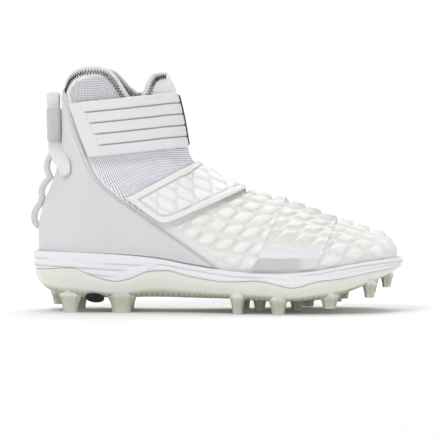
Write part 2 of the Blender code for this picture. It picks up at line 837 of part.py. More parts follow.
def make_sleeve():
    low, high = (height_of(rise) for rise in SLEEVE_RISES)
    strands = 2 * (0.034 * SHAFT_WIDTH + WEBBING_THICKNESS / 2)
    x = quarter_back((low + high) / 2) - 0.0070
    inner = (WEBBING_WIDTH + 6 * FIT, strands + 5 * FIT)
    outer = tuple(size + 2 * SLEEVE_WALL for size in inner)
    rings = [
        oval_ring(x, 0, low, *outer),
        oval_ring(x, 0, high, *outer),
        oval_ring(x, 0, high, *inner),
        oval_ring(x, 0, low, *inner),
    ]
    return add_piece("pull_sleeve", *ring_tube(rings), GREY, 0.35)


def make_heel_cord():
    points = []
    for top, foot, out in HEEL_CORD[1:]:
        for share in np.arange(7) / 7:
            z = height_of(top + (foot - top) * share)
            stand = CORD_RADIUS + 2 * FIT + out * math.sin(math.pi * share)
            points.append(place(quarter_back(z) - stand, 0.0, z))
    z = height_of(HEEL_CORD[-1][1])
    points.append(place(quarter_back(z) - CORD_RADIUS - 2 * FIT, 0.0, z))
    size = 2 * CORD_RADIUS
    return add_piece("heel_cord", *sweep(points, (0.0, 1.0, 0.0), size, size, 6), WHITE, 0.8)


# The oval plug sits on the lower outer edge of the plate, tilted towards the floor
PLUG_ALONG = 0.174
PLUG_TILT = math.radians(50)


def make_plug():
    x = PLUG_ALONG * LENGTH
    half = SOLE.at("half", PLUG_ALONG) * BALL_WIDTH
    under = sole_height("under", x)
    edge_y = SOLE.at("centre", PLUG_ALONG) * BALL_WIDTH - half + EDGE_IN
    edge_z = under + (sole_height("border", x) - under) * EDGE_UP
    away = np.array([0.0, -math.cos(PLUG_TILT), -math.sin(PLUG_TILT)])
    down = np.array([0.0, -math.sin(PLUG_TILT), math.cos(PLUG_TILT)])
    seat = place(x, edge_y, edge_z) + away * FIT
    rings = []
    for height, share in ((0.0, 0.92), (0.35, 1.0), (0.75, 0.86), (1.0, 0.5)):
        angle = 2 * math.pi * np.arange(14) / 14
        long = np.cos(angle)[:, None] * np.array([PLUG_LENGTH / 2, 0, 0]) * share
        wide = np.sin(angle)[:, None] * down * PLUG_WIDTH / 2 * share
        rings.append(seat + away * PLUG_THICKNESS * height + long + wide)
    count = len(rings[0])
    faces = [tuple(reversed(range(count)))]
    for k in range(len(rings) - 1):
        faces += band_faces(k * count, (k + 1) * count, count)
    faces.append(tuple((len(rings) - 1) * count + i for i in range(count)))
    return add_piece("heel_plug", np.concatenate(rings), faces, BLACK, 0.1, 1.0)


def clear_scene():
    for item in list(bpy.data.objects):
        bpy.data.objects.remove(item, do_unlink=True)


def main():
    clear_scene()
    make_plate()
    make_midsole()
    make_insole()
    make_upper()
    make_quarter()
    make_ankle_elastic()
    make_ankle_cover()
    make_midfoot_strap()
    make_forefoot_band()
    make_side_patch()
    make_pull_loop()
    make_sleeve()
    make_heel_cord()
    make_plug()


main()
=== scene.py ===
"""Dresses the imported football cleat: knit, mesh, straps, sewing, foam and moulded plate.

Metres. +X is the toe, -Y the outer side of the foot and +Z up. The stud tips stand on z = 0.
"""

import math
from collections import namedtuple

import bpy
import numpy as np
from mathutils import Matrix


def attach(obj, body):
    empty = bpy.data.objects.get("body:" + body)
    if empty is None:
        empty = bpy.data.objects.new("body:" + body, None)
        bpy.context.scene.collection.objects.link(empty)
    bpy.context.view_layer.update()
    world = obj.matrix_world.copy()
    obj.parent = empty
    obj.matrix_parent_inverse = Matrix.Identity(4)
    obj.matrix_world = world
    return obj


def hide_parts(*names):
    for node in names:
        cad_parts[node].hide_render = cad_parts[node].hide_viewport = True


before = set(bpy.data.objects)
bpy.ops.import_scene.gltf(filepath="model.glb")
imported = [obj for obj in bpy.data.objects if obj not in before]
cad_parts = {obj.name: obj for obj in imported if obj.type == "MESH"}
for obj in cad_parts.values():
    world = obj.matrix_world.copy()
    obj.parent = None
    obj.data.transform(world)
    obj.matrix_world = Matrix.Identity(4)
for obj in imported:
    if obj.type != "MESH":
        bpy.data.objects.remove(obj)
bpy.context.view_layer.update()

# Sizes of the last and the sole, as in the solids
LENGTH = 0.300
BALL_WIDTH = 0.106
STUD_HEIGHT = 0.012
SOLE_DEPTH = 0.037
UPPER_RISE = 0.148
SHAFT_WIDTH = 0.069
RIM_HEIGHT = STUD_HEIGHT + SOLE_DEPTH

WALL = 0.0022
RIM_WALL = 0.005
PLATE_WALL = 0.004
QUARTER_THICKNESS = 0.0015
ELASTIC_THICKNESS = 0.0013
COVER_THICKNESS = 0.0024
QUILT_THICKNESS = 0.0026
PATCH_THICKNESS = 0.0010
WEBBING_WIDTH = 0.0094
WEBBING_THICKNESS = 0.0026
SLEEVE_WALL = 0.0008
PLUG_LENGTH = 0.0155
PLUG_WIDTH = 0.0092
PLUG_THICKNESS = 0.0030
FIT = 0.0003
LAY = 0.0007
QUARTER_LAY = 0.0010
STRAP_LAY = 0.0018

HEEL_ROUND = 0.036
TOE_ROUND = 0.066
SHAFT_HEEL_ROUND = 0.034
SHAFT_FRONT_ROUND = 0.048
ARCH_POWER = 2.3
SHAFT_FROM = 0.010
SHAFT_TO = 0.075
BULGE = 0.0038
BULGE_HEIGHT = 0.016
RIDGE_LEAN = 0.006
RIDGE_SOFT = 0.0012
LEAN_FROM = 0.3
LEAN_OVER = 0.3

# Finer steps than the solids have
SOLE_STATIONS = 130
UPPER_STATIONS = 330
UPPER_REAR = (0.45, 0.27)
MM = 0.001


def named_rows(table):
    """Each row of a table after its first, under the names that the first one gives."""
    return [dict(zip(table[0], row)) for row in table[1:]]


class Table:
    """Rows of named columns, read between the rows by a curve that never overshoots."""

    def __init__(self, names, *rows):
        self.names = names.split()
        self.columns = dict(zip(self.names, np.array(rows, float).T))

    def at(self, name, where):
        keys = self.columns[self.names[0]]
        values = self.columns[name]
        steps = np.diff(keys)
        slopes = np.diff(values) / steps
        product = slopes[:-1] * slopes[1:]
        total = np.where(product > 0, slopes[:-1] + slopes[1:], 1.0)
        turns = np.where(product > 0, 2 * product / total, 0.0)
        tangents = np.concatenate([slopes[:1], turns, slopes[-1:]])
        where = np.clip(where, keys[0], keys[-1])
        i = np.clip(np.searchsorted(keys, where) - 1, 0, len(steps) - 1)
        f = (where - keys[i]) / steps[i]
        start = values[i] * (1 + 2 * f) * (1 - f) ** 2 + tangents[i] * steps[i] * f * (1 - f) ** 2
        end = values[i + 1] * f * f * (3 - 2 * f) - tangents[i + 1] * steps[i] * f * f * (1 - f)
        return start + end


# Sole stations from heel to toe: along is a share of LENGTH, centre and half of BALL_WIDTH,
# and the heights are shares of SOLE_DEPTH above the underside of the plate at the heel.
SOLE = Table(
    "along centre half    top  border under footbed",
    (0.00, 0.000, 0.340, 1.00, 0.60, 0.26, 0.68),
    (0.04, 0.000, 0.340, 1.00, 0.62, 0.10, 0.68),
    (0.11, 0.000, 0.342, 0.99, 0.65, 0.00, 0.69),
    (0.17, -0.003, 0.342, 0.97, 0.48, 0.00, 0.66),
    (0.23, -0.008, 0.338, 0.94, 0.36, 0.00, 0.64),
    (0.27, -0.016, 0.332, 0.92, 0.42, 0.01, 0.63),
    (0.32, -0.026, 0.322, 0.88, 0.58, 0.02, 0.64),
    (0.37, -0.038, 0.318, 0.82, 0.60, 0.02, 0.65),
    (0.42, -0.048, 0.328, 0.74, 0.49, 0.01, 0.58),
    (0.53, -0.058, 0.385, 0.61, 0.37, 0.00, 0.46),
    (0.61, -0.046, 0.435, 0.56, 0.40, -0.04, 0.46),
    (0.66, -0.032, 0.467, 0.56, 0.32, -0.05, 0.44),
    (0.70, -0.018, 0.480, 0.57, 0.25, -0.05, 0.43),
    (0.77, 0.014, 0.486, 0.62, 0.39, -0.02, 0.46),
    (0.83, 0.045, 0.478, 0.70, 0.44, 0.06, 0.53),
    (0.91, 0.085, 0.452, 0.79, 0.56, 0.26, 0.64),
    (0.97, 0.108, 0.430, 0.83, 0.63, 0.46, 0.71),
    (1.00, 0.115, 0.425, 0.84, 0.65, 0.55, 0.72),
)

# Front line of the upper from the toe up to the collar: shares of UPPER_RISE and of LENGTH
RIDGE = Table(
    "rise along",
    (-0.060, 0.981),
    (0.000, 0.984),
    (0.045, 0.972),
    (0.075, 0.952),
    (0.095, 0.920),
    (0.124, 0.873),
    (0.158, 0.820),
    (0.202, 0.767),
    (0.256, 0.690),
    (0.290, 0.623),
    (0.320, 0.573),
    (0.378, 0.517),
    (0.437, 0.467),
    (0.474, 0.440),
    (0.521, 0.424),
    (0.595, 0.415),
    (0.669, 0.409),
    (0.764, 0.400),
    (0.851, 0.389),
    (0.915, 0.378),
    (0.955, 0.366),
    (1.047, 0.335),
)

# Back line of the upper
HEEL = Table(
    "rise along",
    (-0.040, 0.0220),
    (0.130, 0.0215),
    (0.190, 0.0270),
    (0.270, 0.0380),
    (0.345, 0.0540),
    (0.415, 0.0670),
    (0.490, 0.0765),
    (0.585, 0.0840),
    (0.715, 0.0860),
    (0.825, 0.0850),
    (1.000, 0.0770),
)

# Collar height round one side, from the heel (0) to the front (1): shares of UPPER_RISE
COLLAR = Table(
    "turn rise",
    (0.00, 0.855),
    (0.09, 0.895),
    (0.16, 0.945),
    (0.24, 0.978),
    (0.32, 0.995),
    (0.40, 0.998),
    (0.46, 0.988),
    (0.52, 0.945),
    (0.58, 0.865),
    (0.63, 0.815),
    (0.67, 0.815),
    (0.71, 0.860),
    (0.75, 0.930),
    (0.79, 0.962),
    (0.86, 0.972),
    (1.00, 0.974),
)

# Front edge of the heel quarter from the collar down to the midsole
QUARTER_EDGE = Table(
    "down along rise",
    (0.00, 0.088, 0.885),
    (0.12, 0.105, 0.790),
    (0.24, 0.122, 0.680),
    (0.36, 0.146, 0.560),
    (0.46, 0.168, 0.450),
    (0.54, 0.194, 0.370),
    (0.62, 0.240, 0.290),
    (0.71, 0.305, 0.195),
    (0.80, 0.370, 0.105),
    (0.90, 0.440, 0.010),
    (1.00, 0.505, -0.075),
)
INNER_QUARTER = 0.32 * LENGTH

# Straps, side view, each from its top edge to its bottom edge: its end on the outer side, where
# it crosses the front line, and its inner end. The ends are shares of LENGTH and UPPER_RISE.
Strap = namedtuple("Strap", "end rises inner_end")
ANKLE_STRAP = Strap(
    end=((0.109, 0.805), (0.160, 0.508)),
    rises=(0.862, 0.562),
    inner_end=((0.140, 0.790), (0.170, 0.520)),
)
STRAP_RIBS = 5
COVER_REACH = -0.15
MIDFOOT_STRAP = Strap(
    end=((0.258, 0.288), (0.364, 0.135)),
    rises=(0.478, 0.322),
    inner_end=((0.425, -0.040), (0.545, -0.088)),
)
FOREFOOT_BAND = Strap(
    end=((0.595, -0.094), (0.760, -0.086)),
    rises=(0.262, 0.158),
    inner_end=((0.600, -0.094), (0.760, -0.086)),
)
PATCH_REACH = (-1.0, -0.80)

# Studs: along is a share of LENGTH, across of BALL_WIDTH, long and wide of STUD_FOOT, and tip
# the share of STUD_HEIGHT that the tip stands above the floor.
STUD_FOOT = 0.010
STUDS = (
    ("along", "across", "long", "wide", "tip"),
    (0.067, 0.00, 0.95, 1.10, 0.42),
    (0.107, -0.24, 1.35, 0.80, 0.00),
    (0.112, 0.24, 1.35, 0.80, 0.00),
    (0.245, -0.25, 1.75, 0.80, 0.00),
    (0.240, 0.22, 1.75, 0.80, 0.00),
    (0.557, -0.37, 0.95, 1.00, 0.00),
    (0.568, 0.25, 0.95, 1.00, 0.00),
    (0.665, -0.40, 1.20, 0.95, 0.00),
    (0.655, 0.33, 1.15, 0.95, 0.00),
    (0.613, -0.08, 0.95, 0.95, 0.02),
    (0.713, -0.06, 1.00, 0.95, 0.02),
    (0.742, 0.37, 1.05, 0.95, 0.06),
    (0.800, -0.34, 1.20, 0.95, 0.36),
    (0.822, 0.05, 0.80, 0.95, 0.60),
    (0.838, 0.37, 0.95, 0.95, 0.62),
    (0.907, -0.19, 0.90, 0.95, 1.02),
    (0.915, 0.29, 0.90, 0.95, 1.10),
    (0.955, 0.06, 0.80, 0.95, 1.58),
)


def rounded(share, power=2.2):
    """0 at the tip, 1 from share 1 on, like the quarter of an oval."""
    return (1 - (1 - np.clip(share, 0, 1)) ** power) ** (1 / power)


def smoothstep(share):
    """0 up to share 0, 1 from share 1 on, eased between."""
    share = np.clip(share, 0, 1)
    return share * share * (3 - 2 * share)


def soft_line(distance, width):
    """1 on a line and less to both sides of it."""
    return np.exp(-((distance / width) ** 2))


def sole_height(name, x):
    """Height of a named line of the sole at a distance from the heel."""
    return STUD_HEIGHT + SOLE_DEPTH * SOLE.at(name, x / LENGTH)


def rise_of(z):
    return (z - RIM_HEIGHT) / UPPER_RISE


def height_of(rise):
    return RIM_HEIGHT + UPPER_RISE * rise


RIDGE_RISES = np.linspace(-0.06, 1.047, 400)
RIDGE_ALONG = RIDGE.at("along", RIDGE_RISES) * LENGTH


def front_x(z):
    """Distance from the heel to the upper's front line at a height."""
    return np.interp(rise_of(z), RIDGE_RISES, RIDGE_ALONG)


def heel_x(z):
    """Distance from the heel's tip to the upper's back line at a height."""
    return HEEL.at("along", rise_of(z)) * LENGTH


def ridge_z(x):
    """Height of the front line over a point of the length, rising steeply past the collar."""
    tip = np.argmax(RIDGE_ALONG)
    rise = np.interp(x, RIDGE_ALONG[tip:][::-1], RIDGE_RISES[tip:][::-1])
    past = (RIDGE_ALONG[-1] - x) / RIDGE_SOFT
    return height_of(rise) + 6 * RIDGE_SOFT * np.logaddexp(0, np.clip(past, -60, 60))


def upper_y(x, z, side):
    """The last: where the upper's outer face lies at a place of the side view, side -1 or 1."""
    rim = sole_height("top", x)
    over = z - rim
    shaft = smoothstep((z - RIM_HEIGHT - SHAFT_FROM) / (SHAFT_TO - SHAFT_FROM))
    foot = SOLE.at("half", x / LENGTH) * BALL_WIDTH - RIM_WALL - FIT
    foot = foot + BULGE * (1 - (1 - np.clip(over / BULGE_HEIGHT, 0, 1)) ** 2)
    half = foot * (1 - shaft) + SHAFT_WIDTH / 2 * shaft
    up = np.clip(over / np.maximum(ridge_z(x) - rim, 1e-6), 0, 1)
    arch = 1 - up**ARCH_POWER
    front = TOE_ROUND + (SHAFT_FRONT_ROUND - TOE_ROUND) * shaft
    plan = 1 - (1 - np.clip((front_x(z) - x) / front, 0, 1)) ** ARCH_POWER
    both = arch * plan / np.maximum(arch + plan - arch * plan, 1e-9)
    heel = HEEL_ROUND + (SHAFT_HEEL_ROUND - HEEL_ROUND) * shaft
    half = half * both ** (1 / ARCH_POWER) * rounded((x - heel_x(z)) / heel)
    centre = SOLE.at("centre", x / LENGTH) * BALL_WIDTH * (1 - shaft)
    leaning = smoothstep((x / LENGTH - LEAN_FROM) / LEAN_OVER)
    lean = RIDGE_LEAN * smoothstep(up) * (1 - shaft) * leaning
    return centre + lean + side * half


def place(x, y, z):
    """Points in the part's frame, whose origin is under the middle of the length."""
    x, y, z = np.broadcast_arrays(x, y, z)
    return np.stack([x - LENGTH / 2, y, z], axis=-1)


def both_sides(count, rear=0.45, rear_share=0.45):
    """Steps round a closed ring from the heel by the outer side to the toe and back.

    A share of the steps lies behind the rear turn, and the rest are closer together in front.
    """
    steps = np.interp(np.arange(count + 1) / count, (0, rear_share, 1), (0, rear, 1))
    turn = np.concatenate([steps, steps[-2:0:-1]])
    side = np.concatenate([-np.ones(count + 1), np.ones(count - 1)])
    return turn, side


def unit(vectors):
    return vectors / np.maximum(np.linalg.norm(vectors, axis=-1, keepdims=True), 1e-12)


def reach_along(line):
    """How far along a line of points each of them lies."""
    return np.concatenate([[0], np.cumsum(np.linalg.norm(np.diff(line, axis=0), axis=1))])


def sampled(places, reach, values):
    """Rows of values, read at places along their reach."""
    return np.stack([np.interp(places, reach, column) for column in values.T], axis=1)


def plan_normals(ring):
    """Outward normals of a closed ring, seen from above."""
    along = np.roll(ring, -1, axis=0) - np.roll(ring, 1, axis=0)
    return unit(np.stack([along[:, 1], -along[:, 0], np.zeros(len(ring))], axis=1))


def pushed(ring, distance):
    """A ring moved level, outwards by a distance in metres."""
    return ring + plan_normals(ring) * np.reshape(distance, (-1, 1))


def at_height(ring, height):
    moved = ring.copy()
    moved[:, 2] = height
    return moved


def sole_outline():
    """The sole's outline on the floor, with the distance from the heel and side of each point."""
    turn, side = both_sides(SOLE_STATIONS)
    x = LENGTH * (1 - np.cos(math.pi * turn)) / 2
    ends = rounded(x / HEEL_ROUND) * rounded((LENGTH - x) / TOE_ROUND, ARCH_POWER)
    half = SOLE.at("half", x / LENGTH) * BALL_WIDTH * ends
    y = SOLE.at("centre", x / LENGTH) * BALL_WIDTH + side * half
    return place(x, y, 0.0), x, side


# Up to this level the rings follow the rim's sag, and from the next one the collar's dip
RIM_FADES = 0.6
COLLAR_FROM = 0.7


def ring_line(level, turn):
    """Side view of one ring of the upper: level 0 is the sole's rim and 1 the collar."""
    sweep = (1 - np.cos(math.pi * turn)) / 2
    front = np.stack([RIDGE_ALONG, height_of(RIDGE_RISES)], axis=1)
    start = np.argmax(front[:, 1] > sole_height("top", 0.98 * LENGTH))
    end = np.argmax(RIDGE_RISES > COLLAR.at("rise", 1.0))
    front = front[start:end]
    steps = reach_along(front)
    front_z = np.interp(level * steps[-1], steps, front[:, 1])
    low, high = sole_height("top", 0.0), height_of(COLLAR.at("rise", 0.0))
    back_z = low + (high - low) * level
    x = heel_x(back_z) + (front_x(front_z) - heel_x(back_z)) * sweep
    drop = 1 - (1 - sweep) ** 2
    rim = sole_height("top", x)
    rim_sag = rim - (rim[0] + (sole_height("top", front_x(front_z)) - rim[0]) * drop)
    collar = height_of(COLLAR.at("rise", turn))
    collar_ends = collar[0] + (height_of(COLLAR.at("rise", 1.0)) - collar[0]) * drop
    z = back_z + (front_z - back_z) * drop
    z = z + rim_sag * (1 - smoothstep(level / RIM_FADES))
    z = z + (collar - collar_ends) * smoothstep((level - COLLAR_FROM) / (1 - COLLAR_FROM))
    return x, z


def grid_normals(grid, closed):
    """Normals of a grid of points, rows by columns, with the columns going round or open."""
    rows = np.gradient(grid, axis=0)
    if closed:
        columns = np.roll(grid, -1, axis=1) - np.roll(grid, 1, axis=1)
    else:
        columns = np.gradient(grid, axis=1)
    return unit(np.cross(columns, rows))


# The vamp's own directions in the side view: along the front line to the toe, and down from it
RUN = np.array([0.944, -0.330])
FALL = np.array([-0.330, -0.944])
# The girth from the front line is charted over these runs and falls, in so many steps
CHART_RUNS = (0.060, 0.275, 90)
CHART_FALL = (0.12, 140)

# Leaves in rows: their pitch along a row, from row to row and sideways with each row, and their
# half length and half width, on the knit forefoot and on the midfoot strap
Leaves = namedtuple("Leaves", "pitch row shift long wide")
KNIT_LEAVES = Leaves(pitch=13.9 * MM, row=13.2 * MM, shift=-3.4 * MM, long=9.4 * MM, wide=4.9 * MM)
QUILT_LEAVES = Leaves(pitch=19 * MM, row=8.6 * MM, shift=9.5 * MM, long=10.8 * MM, wide=5.6 * MM)
LEAF_FIRST = 7.7 * MM
LEAF_RISE = 2.5 * MM
# The row on the front line of the forefoot is higher and shorter than the others
LEAF_CREST = 1.75
CREST_LENGTH = 0.72
LEAF_POINT = 1.4
LEAF_BELLY = 1.1
LEAF_SLOPE = 0.62
# How much of their height shows through the film band, and through the knit pressed under it
FILM_SHOWS = 0.66
UNDER_FILM = 0.62


def ridge_fall(along):
    """How far down the front line lies at a distance along the vamp."""
    line = np.stack([RIDGE_ALONG, height_of(RIDGE_RISES)], axis=1)
    runs = line @ RUN
    tip = np.argmax(runs)
    return np.interp(along, runs[tip:][::-1], (line @ FALL)[tip:][::-1])


def girth_chart(side):
    """Distance over the surface from the front line, by the run along and the fall below it."""
    runs = np.linspace(*CHART_RUNS)
    falls = np.linspace(0, 1, CHART_FALL[1]) ** 2 * CHART_FALL[0]
    run, fall = np.meshgrid(runs, falls, indexing="ij")
    spot = run[..., None] * RUN + (ridge_fall(run) + fall)[..., None] * FALL
    y = upper_y(spot[..., 0], spot[..., 1], side)
    steps = np.hypot(np.diff(fall, axis=1), np.diff(y, axis=1))
    return runs, falls, np.concatenate([np.zeros((len(runs), 1)), np.cumsum(steps, axis=1)], axis=1)


GIRTH_CHARTS = {side: girth_chart(side) for side in (-1.0, 1.0)}


def vamp_place(x, z, side):
    """Run along the vamp and girth from the front line for places of the side view."""
    run = x * RUN[0] + z * RUN[1]
    fall = np.maximum(x * FALL[0] + z * FALL[1] - ridge_fall(run), 0)
    girth = np.zeros(np.shape(run))
    for which, (runs, falls, chart) in GIRTH_CHARTS.items():
        i = np.clip((run - runs[0]) / (runs[1] - runs[0]), 0, len(runs) - 1.001)
        j = np.clip(np.sqrt(fall / falls[-1]) * (len(falls) - 1), 0, len(falls) - 1.001)
        a, b = i.astype(int), j.astype(int)
        f, g = i - a, j - b
        near = chart[a, b] * (1 - g) + chart[a, b + 1] * g
        far = chart[a + 1, b] * (1 - g) + chart[a + 1, b + 1] * g
        girth = np.where(side == which, near * (1 - f) + far * f, girth)
    return run, girth


def leaf_rows(run, girth, leaves, tilt, crest=1.0):
    """Leaves in shifted rows, from 0 between them to 1 on their spines, or to crest in row 0.

    The tilt is in degrees, or a function that gives it for a row.
    """
    height = np.zeros(np.shape(run))
    nearest = np.floor(girth / leaves.row)
    for step in (0, 1, -1, 2):
        row = nearest + step
        turned = np.radians(tilt(row) if callable(tilt) else tilt)
        shorter = np.where(row == 0, CREST_LENGTH, 1.0)
        shifted = run - row * leaves.shift
        first = np.round(shifted / leaves.pitch)
        for beside in (-1, 0, 1):
            aside = shifted - (first + beside) * leaves.pitch
            below = girth - row * leaves.row
            length = aside * np.cos(turned) - below * np.sin(turned)
            width = aside * np.sin(turned) + below * np.cos(turned)
            reach = (np.abs(length) / shorter / leaves.long) ** LEAF_POINT
            reach = reach + (np.abs(width) / leaves.wide) ** LEAF_BELLY
            inside = 1 - np.clip(1 - (1 - reach) / LEAF_SLOPE, 0, 1) ** 2
            inside = inside * np.where(row == 0, crest, 1.0)
            height = np.maximum(height, np.where((row < 0) | (reach > 1), 0.0, inside))
    return height


def leaf_tilt(row):
    """Degrees that a row of leaves is turned by, more with each row down from the front line."""
    return np.clip(row, 0, 1) * 18 + np.clip(row - 1, 0, 5) * 5


def leaf_field(run, girth):
    """The raised leaves of the knit forefoot."""
    return leaf_rows(run - LEAF_FIRST, girth, KNIT_LEAVES, leaf_tilt, LEAF_CREST)


def before_line(x, z, first, last):
    """Distance from a line of the side view, positive on its right seen from first to last."""
    first, last = np.array(first), np.array(last)
    way = (last - first) / np.linalg.norm(last - first)
    return (x - first[0]) * way[1] - (z - first[1]) * way[0]


def in_metres(share_point):
    """A place of the side view from its shares of LENGTH and UPPER_RISE."""
    return np.array([share_point[0] * LENGTH, height_of(share_point[1])])


def ridge_point(rise):
    """The place of the side view where the front line reaches a share of UPPER_RISE."""
    return np.array([front_x(height_of(rise)), height_of(rise)])


def past_edge(x, z, side, strap, edge):
    """Distance ahead of a strap's top edge, which is edge 0, or of its bottom edge."""
    front = ridge_point(strap.rises[edge])
    ends = (in_metres(strap.end[edge]), in_metres(strap.inner_end[edge]))
    outer, inner = (before_line(x, z, end, front) for end in ends)
    return np.where(side < 0, outer, inner)


# The leaves' height fades over these lengths at the strap, the rim and the toe, and is lower by
# a share towards the toe
STRAP_FADE = 5 * MM
RIM_FADE = 9 * MM
TOE_FADE = 14 * MM
TOE_LOWER = 0.25


def vamp_mask(x, z, side):
    """1 on the part of the forefoot where the leaves stand, 0 under the straps and at the rim."""
    clear = past_edge(x, z, side, MIDFOOT_STRAP, 1)
    quarter = [in_metres(row) for row in ((0.505, -0.075), (0.305, 0.195))]
    clear = np.where(side < 0, np.minimum(clear, before_line(x, z, *quarter) - 3 * MM), clear)
    over = z - sole_height("top", x)
    toe = front_x(sole_height("top", 0.98 * LENGTH)) - x
    lower = 1 - TOE_LOWER * smoothstep((x / LENGTH - 0.80) / 0.14)
    fades = smoothstep((clear - MM) / STRAP_FADE) * smoothstep(over / RIM_FADE)
    return fades * smoothstep(toe / TOE_FADE) * lower


def under_band(x, z, side):
    """1 under the forefoot band, with soft edges."""
    behind, ahead = (past_edge(x, z, side, FOREFOOT_BAND, edge) for edge in (0, 1))
    return smoothstep(behind / (2 * MM)) * smoothstep(-ahead / (2 * MM))


# The band's smooth foot: its top above the floor on the outer side, and above the rim inside
OUTER_FOOT = 53.2 * MM
INNER_FOOT = 6 * MM


def band_calm(x, z, side):
    """How much of the leaves the film shows: all above its smooth foot, and none on it."""
    outer = smoothstep((z - OUTER_FOOT) / (2.5 * MM))
    inner = smoothstep((z - sole_height("top", x) - INNER_FOOT) / (6 * MM))
    return np.where(side < 0, outer, inner)


def leaf_relief(x, z, side):
    """Height of the leaves over the last, as a height and as a share of the full one."""
    run, girth = vamp_place(x, z, side)
    band = under_band(x, z, side)
    share = leaf_field(run, girth) * vamp_mask(x, z, side)
    share = share * (1 - band + band * UNDER_FILM * band_calm(x, z, side))
    return share * LEAF_RISE, share


# Materials


class Value:
    """A shader socket that takes part in sums."""

    def __init__(self, paint, socket):
        self.paint = paint
        self.socket = socket

    def math(self, operation, *others, turned=False):
        pair = [self, *others]
        if turned:
            pair = pair[::-1]
        return self.paint.node("ShaderNodeMath", {"operation": operation}, dict(enumerate(pair)))

    def __add__(self, other):
        return self.math("ADD", other)

    __radd__ = __add__

    def __mul__(self, other):
        return self.math("MULTIPLY", other)

    __rmul__ = __mul__

    def __sub__(self, other):
        return self.math("SUBTRACT", other)

    def __rsub__(self, other):
        return self.math("SUBTRACT", other, turned=True)

    def __truediv__(self, other):
        return self.math("DIVIDE", other)

    def fract(self):
        return self.math("FRACT")

    def size(self):
        return self.math("ABSOLUTE")

    def root(self):
        return self.math("SQRT")

    def above(self, low, high):
        """0 below low, 1 above high, eased between."""
        ends = {"Value": self, "From Min": low, "From Max": high}
        return self.paint.node("ShaderNodeMapRange", {"interpolation_type": "SMOOTHSTEP"}, ends)

    def below(self, low, high):
        return 1 - self.above(low, high)


class Paint:
    """One material, whose nodes are added by the expressions that use them."""

    def __init__(self, name, colour, roughness, **constants):
        self.material = bpy.data.materials.new(name)
        self.material.use_nodes = True
        self.tree = self.material.node_tree
        self.shader = self.tree.nodes["Principled BSDF"]
        self.shader.inputs["Base Color"].default_value = (*colour, 1)
        self.shader.inputs["Roughness"].default_value = roughness
        for key, value in constants.items():
            self.shader.inputs[key.replace("_", " ")].default_value = value

    def node(self, kind, settings=None, values=None, output=0):
        made = self.tree.nodes.new(kind)
        for key, value in (settings or {}).items():
            setattr(made, key, value)
        for key, value in (values or {}).items():
            if isinstance(value, Value):
                self.tree.links.new(value.socket, made.inputs[key])
            else:
                made.inputs[key].default_value = value
        return Value(self, made.outputs[output])

    def metres(self):
        """The piece's own map: metres along and across its surface."""
        spot = self.node("ShaderNodeUVMap", {"uv_map": "metres"})
        return [self.node("ShaderNodeSeparateXYZ", None, {0: spot}, i) for i in (0, 1)]

    def mask(self, name):
        return self.node("ShaderNodeAttribute", {"attribute_name": name}, None, "Fac")

    def noise(self, scale, detail=2.0):
        spot = self.node("ShaderNodeTexCoord", None, None, "Object")
        values = {"Vector": spot, "Scale": scale, "Detail": detail}
        return self.node("ShaderNodeTexNoise", None, values)

    def mix(self, share, first, second):
        first, second = (
            end if isinstance(end, Value) else (*end, 1) for end in (first, second)
        )
        values = {0: share, 6: first, 7: second}
        return self.node("ShaderNodeMix", {"data_type": "RGBA"}, values, 2)

    def wire(self, name, value):
        self.tree.links.new(value.socket, self.shader.inputs[name])

    def relief(self, height, distance, strength=1.0):
        """The bump that a height from 0 to 1 stands over a distance in metres."""
        values = {"Height": height, "Distance": distance, "Strength": strength}
        self.wire("Normal", self.node("ShaderNodeBump", None, values))


def loops(u, v, pitch):
    """Knitted loops: rows of small V shapes, from 0 in the gaps to 1 on the yarn."""
    column = (u / pitch).fract() - 0.5
    row = (v / pitch * 1.25 + column.size() * 1.1).fract() - 0.5
    yarn = 1 - row.size() * 2
    return yarn * (1 - (column.size() * 2).above(0.75, 1.0) * 0.7)


def pinholes(u, v, across, up, radius):
    """Round holes on a square grid, 1 in a hole."""
    aside = (u / across).fract() - 0.5
    above = (v / up).fract() - 0.5
    return (aside * aside + above * above).root().below(radius, radius + 0.14)


# Pitch of the forefoot's knit, and the ankle's pinholes: across, up, and radius as a share
KNIT_PITCH = 1.5 * MM
PINHOLES = (1.45 * MM, 1.5 * MM, 0.22)


def bootie_paint():
    """Knit, smooth leaf tops, the ankle's mesh with painted shade at its top, and a dark lining
    inside.
    """
    paint = Paint("knit_bootie", (0.84, 0.84, 0.80), 0.82, Sheen_Weight=0.15)
    u, v = paint.metres()
    mesh, leaf, inside = paint.mask("mesh"), paint.mask("leaf"), paint.mask("inside")
    knit = loops(u, v, KNIT_PITCH)
    gaps = pinholes(paint.mask("around"), paint.mask("up"), *PINHOLES)
    soft = paint.noise(60, 3)
    smooth = leaf.above(0.15, 0.75)
    between = knit.below(0.05, 0.55) * (1 - smooth) * 0.7
    colour = paint.mix(between, (0.97, 0.97, 0.955), (0.66, 0.66, 0.62))
    colour = paint.mix(smooth, colour, (0.86, 0.865, 0.84))
    colour = paint.mix(smooth * soft.above(0.35, 0.7) * 0.6, colour, (0.81, 0.815, 0.785))
    woven = paint.mix(gaps, (0.88, 0.875, 0.94), (0.17, 0.17, 0.21))
    shade_seen_through = paint.mix(gaps, (0.72, 0.72, 0.75), (0.10, 0.10, 0.12))
    # Painted shade: the mesh's top is darker, as the shadowed inside of the empty shoe would show
    # through it
    woven = paint.mix(paint.mask("open"), woven, shade_seen_through)
    colour = paint.mix(mesh, colour, woven)
    lining = paint.mix(gaps * 0.6, (0.60, 0.60, 0.62), (0.34, 0.34, 0.36))
    paint.wire("Base Color", paint.mix(inside, colour, lining))
    height = knit * (1 - smooth) * (1 - mesh) + (1 - gaps) * mesh * 0.6 + soft * 0.25
    paint.relief(height, 0.35 * MM, 0.7)
    return paint.material


